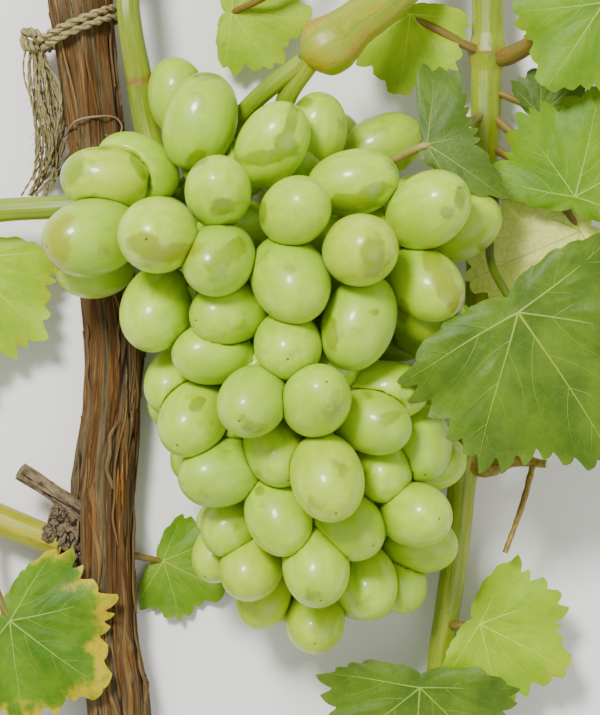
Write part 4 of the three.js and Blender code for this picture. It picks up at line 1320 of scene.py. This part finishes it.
def height_of(leaf, veins, x, y, margin, seed):
    """The blade's own waves and the puckers between its veins, over the source's smooth bend."""
    near = nearest_vein(x, y, veins)
    spots = xyz(x, y, seed * 13.0)
    slow, quick = noise_at(spots, 0.055, seed), noise_at(spots, 0.17, seed + 2)
    wave = slow * 0.035 * margin**2 + quick * 0.014 * margin**3
    middle = np.clip(np.hypot(x, y) / (0.3 * leaf.length), 0, 1) ** 2
    between = 1 - np.exp(-((near / (0.045 * leaf.length)) ** 2))
    pucker = 0.016 * between * (1 - 0.6 * margin**3) * middle
    return leaf.length * (wave * middle + pucker), near


def add_vein(shape, leaf, veins, line, fade, seed):
    """A raised rib along a vein, low on the upper side and proud on the under side."""
    x, y, half = line.T
    heading = unit(np.gradient(line[:, :2], axis=0))
    base = height_of(leaf, veins, x, y, np.hypot(x, y) / leaf.length, seed)[0]
    grain = np.repeat(xyz(x, y, 0), len(VEIN_SECTION), 0) + seed
    faces = grid_faces(len(x), len(VEIN_SECTION), wrap=False)
    for side, proud in ((1, 0.1), (-1, 0.4)):
        rows = []
        for across, crest in VEIN_SECTION:
            rise = base + side * (0.33 + (proud if crest else -0.06) * (0.4 + half))
            off = across * half
            rows.append(blade_points(leaf, x - heading[:, 1] * off, y + heading[:, 0] * off, rise))
        ribbon = np.stack(rows, 1).reshape(-1, 3)
        shape.add(ribbon, [faces[:, ::-1] if side > 0 else faces], 2, grain=grain, edge=fade)


def make_blade(leaf, seed, paints):
    """The toothed blade with its two sides, its rim and its veins."""
    length = leaf.length
    angles, edge = toothed_edge(leaf, seed)
    columns, rows = len(angles), 6 + int(length / 2.6)
    parts = np.linspace(0, 1, rows)[1:] ** 0.85
    blend = parts[:, None] ** 6
    smooth = length * 0.98 * leaf_reach(np.degrees(angles), leaf.edge)
    reach = parts[:, None] * (smooth * (1 - blend) + edge * blend)
    x, y = (np.append(reach * way, 0) for way in (np.cos(angles), np.sin(angles)))
    margin = np.append(np.repeat(parts, columns), 0)
    veins = vein_lines(leaf, seed)
    body, near = height_of(leaf, veins, x, y, margin, seed)
    thick = 0.14 + 0.2 * np.exp(-((near / 1.1) ** 2))
    grain = xyz(x, y, 0) + np.array([91.0, 37.0, 0]) * seed
    hub, inner = len(x) - 1, np.arange(columns)
    rings = grid_faces(rows - 1, columns)
    top, bottom = (blade_points(leaf, x, y, body + half) for half in (thick, -thick))
    shape = Shape()
    shape.add(top, [rings[:, ::-1], fan(hub, inner)], 0, grain=grain, edge=margin)
    shape.add(bottom, [rings, fan(hub, inner, True)], 1, grain=grain, edge=margin)
    rim = slice(hub - columns, hub)
    rim_grain = np.vstack([grain[rim], grain[rim]])
    rim_faces = grid_faces(2, columns)[:, ::-1]
    shape.add(np.vstack([top[rim], bottom[rim]]), [rim_faces], 0, grain=rim_grain, edge=1.0)
    for line, fade in veins:
        add_vein(shape, leaf, veins, line, fade, seed)
    # Leaves with painted shade go to the dark slot, and those with painted sunlight go to the bright one.
    slot = "dark_leaf" if leaf.look in SHADED_LOOKS else "bright_leaf"
    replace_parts(shape.build(leaf.name + "_blade", paints[leaf.look], slot), leaf.name)


def make_petiole(leaf, paints):
    """The leaf's stem, whose end is sunk a little where it carries the blade."""
    *line, (x, y, z, radius) = leaf.petiole
    if np.hypot(x - leaf.at[0], y - leaf.at[1]) < 3:
        z, radius = z - STEM_SINK, 0.8 * radius
    stem = Shape()
    relief = cane_relief(nodes=((0.02, 0.6), (0.98, 0.4)), depth=0.05)
    add_limb(stem, line + [(x, y, z, radius)], sides=16, steps=70, relief=relief)
    paint = paints[leaf.stem + "_petiole"]
    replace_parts(stem.build(leaf.name + "_petiole", [paint], "green_cane"), leaf.name)


# The twine.


def across_line(place):
    """Two directions square to a line of places at each of them."""
    tangent = unit(np.gradient(place, axis=0))
    side = unit(np.cross(tangent, OFF_AXIS))
    return side, np.cross(tangent, side)


def add_tube(shape, place, radius, sides, **values):
    """A plain tube through the places, with closed ends."""
    side, lift = across_line(place)
    a, s = np.meshgrid(turns(sides), lengths_along(place))
    off = np.cos(a)[..., None] * side[:, None] + np.sin(a)[..., None] * lift[:, None]
    radius = np.broadcast_to(radius, len(place))
    verts = (place[:, None] + off * radius[:, None, None]).reshape(-1, 3)
    grain = xyz(np.cos(a), np.sin(a), s).reshape(-1, 3)
    count = len(verts)
    ends = [fan(count, np.arange(sides), True), fan(count + 1, np.arange(count - sides, count))]
    verts = np.vstack([verts, place[0], place[-1]])
    grain = np.vstack([grain, grain[:1], grain[-1:]])
    shape.add(verts, [grid_faces(len(place), sides), *ends], grain=grain, **values)


def add_yarn(shape, path, radius, twist, seed):
    """A laid twine along a path: two strands wound round its line."""
    points = np.array(path, float)
    long = np.linalg.norm(np.diff(points, axis=0), axis=1).sum()
    at = np.linspace(0, 1, max(16, int(long * 2.2)))
    place = smooth_line(points, at)[0]
    side, lift = across_line(place)
    for k in range(2):
        turn = twist * at * long + math.pi * k + seed
        offset = (side * np.cos(turn)[:, None] + lift * np.sin(turn)[:, None]) * radius * 0.5
        add_tube(shape, place + offset, radius * 0.55 * (1 + 0.15 * np.sin(3.1 * at * long + k + seed)), 7)


def add_strand(shape, line, k):
    """One of the loose strands that hang from the knot, swaying off their common line."""
    a = 2 * math.pi * k / STRANDS + 0.9 * share(k + 0.9)
    t = np.linspace(0, 1, len(line))
    quick = 6 + 7 * share(k + 0.35)
    sway = xyz(np.sin(quick * t + 5 * share(k + 0.1)), 0, np.cos(7 * t + 5 * share(k + 0.3))) * 1.5
    sway[:, 0] += 2.2 * np.sin(math.pi * t) * np.minimum(1, 4 * t)
    reach = (1.6 + 3.4 * share(k + 0.4)) * np.minimum(1, 0.35 + 3 * t) * (1 - 0.35 * t**3)
    strand = line + xyz(np.cos(a) * reach, 0, 0.8 * np.sin(a) * reach) + sway
    strand[:, 2] = np.maximum(strand[:, 2], 1.2)
    end = len(line) - int(8 * share(k + 0.2))
    add_yarn(shape, strand[:end:3], 0.32 + 0.3 * share(k + 0.6), 0.5 + 0.5 * share(k + 0.7), k)


def add_fibre(shape, line, k):
    """A short stray fibre that stands off the strands."""
    steps = 12
    start = line[int(2 + 22 * share(k + 0.15))]
    way = unit(np.array([share(k + 0.3) - 0.5, -0.9 * share(k + 0.8) - 0.2, 0.5 * share(k + 0.45)]))
    bend = np.array([share(k + 0.55) - 0.5, share(k + 0.65) - 0.5, 0.2]) * 4
    path = [start, start + way * 3.5 + bend * 0.3, start + way * 7 + bend]
    place = smooth_line(path, np.linspace(0, 1, steps))[0]
    place[:, 2] = np.maximum(place[:, 2], 0.6)
    add_tube(shape, place, np.linspace(0.16, 0.06, steps), 5)


def make_tie(paint):
    """Two turns of twine round the trunk, their knot, and the strands that hang from it."""
    rope = Shape()
    turn = np.linspace(0, 2 * math.pi, 40)
    cos, sin = math.cos(TIE_TILT), math.sin(TIE_TILT)
    for shift, size in TIE_TURNS:
        x, z = 1.04 * size * np.cos(turn), 0.98 * size * np.sin(turn)
        ring = xyz(x * cos - shift * sin, x * sin + shift * cos, z) + spot(*TIE_CENTRE)
        add_yarn(rope, ring, TIE_YARN, TIE_TWIST, shift)
    t = np.linspace(0, 2 * math.pi, 18)
    for k in range(3):
        loop = xyz(2.6 * np.cos(t + k), 3.1 * np.sin(t + 0.5 * k), 2.2 * np.sin(2 * t + k))
        add_yarn(rope, loop + spot(*TIE_KNOT), KNOT_YARN, TIE_TWIST, k)
    line = smooth_line([spot(*place) for place in TIE_HANK], np.linspace(0, 1, 26))[0]
    for k in range(STRANDS):
        add_strand(rope, line, k)
    for k in range(STRAY_FIBRES):
        add_fibre(rope, line, k)
    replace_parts(rope.build("twine_tie", [paint], "twine"), "tie")


def make_tendril(paint):
    """The thin dry tendril hooked over the trunk below the tie."""
    steps = 70
    place = smooth_line([spot(*p) for p in DRY_TENDRIL], np.linspace(0, 1, steps))[0]
    shape = Shape()
    add_tube(shape, place, 0.34 * np.linspace(1.1, 0.7, steps), 9, node=0.0)
    shape.build("dry_tendril", [paint], "bark")


# The studio.


def make_stage():
    bpy.ops.mesh.primitive_plane_add(size=FLOOR_WIDTH, location=(0, 0, 0))
    floor = bpy.context.object
    floor.name = "studio_floor"
    floor.data.materials.append(floor_paint())
    for name, (place, size, power) in LIGHTS.items():
        light = bpy.data.objects.new(name, bpy.data.lights.new(name, "AREA"))
        light.data.size = size
        light.data.energy = power
        light.location = place
        light.rotation_euler = (-Vector(place)).to_track_quat("-Z", "Y").to_euler()
        bpy.context.scene.collection.objects.link(light)
    world = bpy.data.worlds.new("studio")
    world.use_nodes = True
    background = world.node_tree.nodes["Background"]
    background.inputs[0].default_value = (1, 1, 1, 1)
    background.inputs[1].default_value = WORLD_STRENGTH
    bpy.context.scene.world = world


def make_camera():
    camera = bpy.data.objects.new("camera", bpy.data.cameras.new("camera"))
    camera.data.sensor_width = SENSOR_WIDTH
    camera.data.lens = SENSOR_WIDTH * (EYE_HEIGHT - FACE_HEIGHT) / VIEW_TALL
    camera.location = (np.array([0, 0, EYE_HEIGHT]) + PLAN_SHIFT) * MM
    camera.data.clip_start = 0.01
    camera.data.clip_end = 50
    bpy.context.scene.collection.objects.link(camera)
    bpy.context.scene.camera = camera


def main():
    cut = cut_wood_paint()
    canes = {name: cane_paint(name) for name in CANE_LOOKS}
    blades = {kind: (leaf_paint(kind), leaf_paint(kind, True), vein_paint(kind)) for kind in LEAF_LOOKS}
    make_bunch(berry_paint(), canes["green_cane"])
    make_wood(bark_paint(), cut, gnarl_paint())
    make_canes(canes, cut)
    for seed, leaf in enumerate(LEAVES, 1):
        make_blade(leaf, seed, blades)
        make_petiole(leaf, canes)
    make_tie(twine_paint())
    make_tendril(canes["dry_tendril"])
    make_stage()
    make_camera()


main()
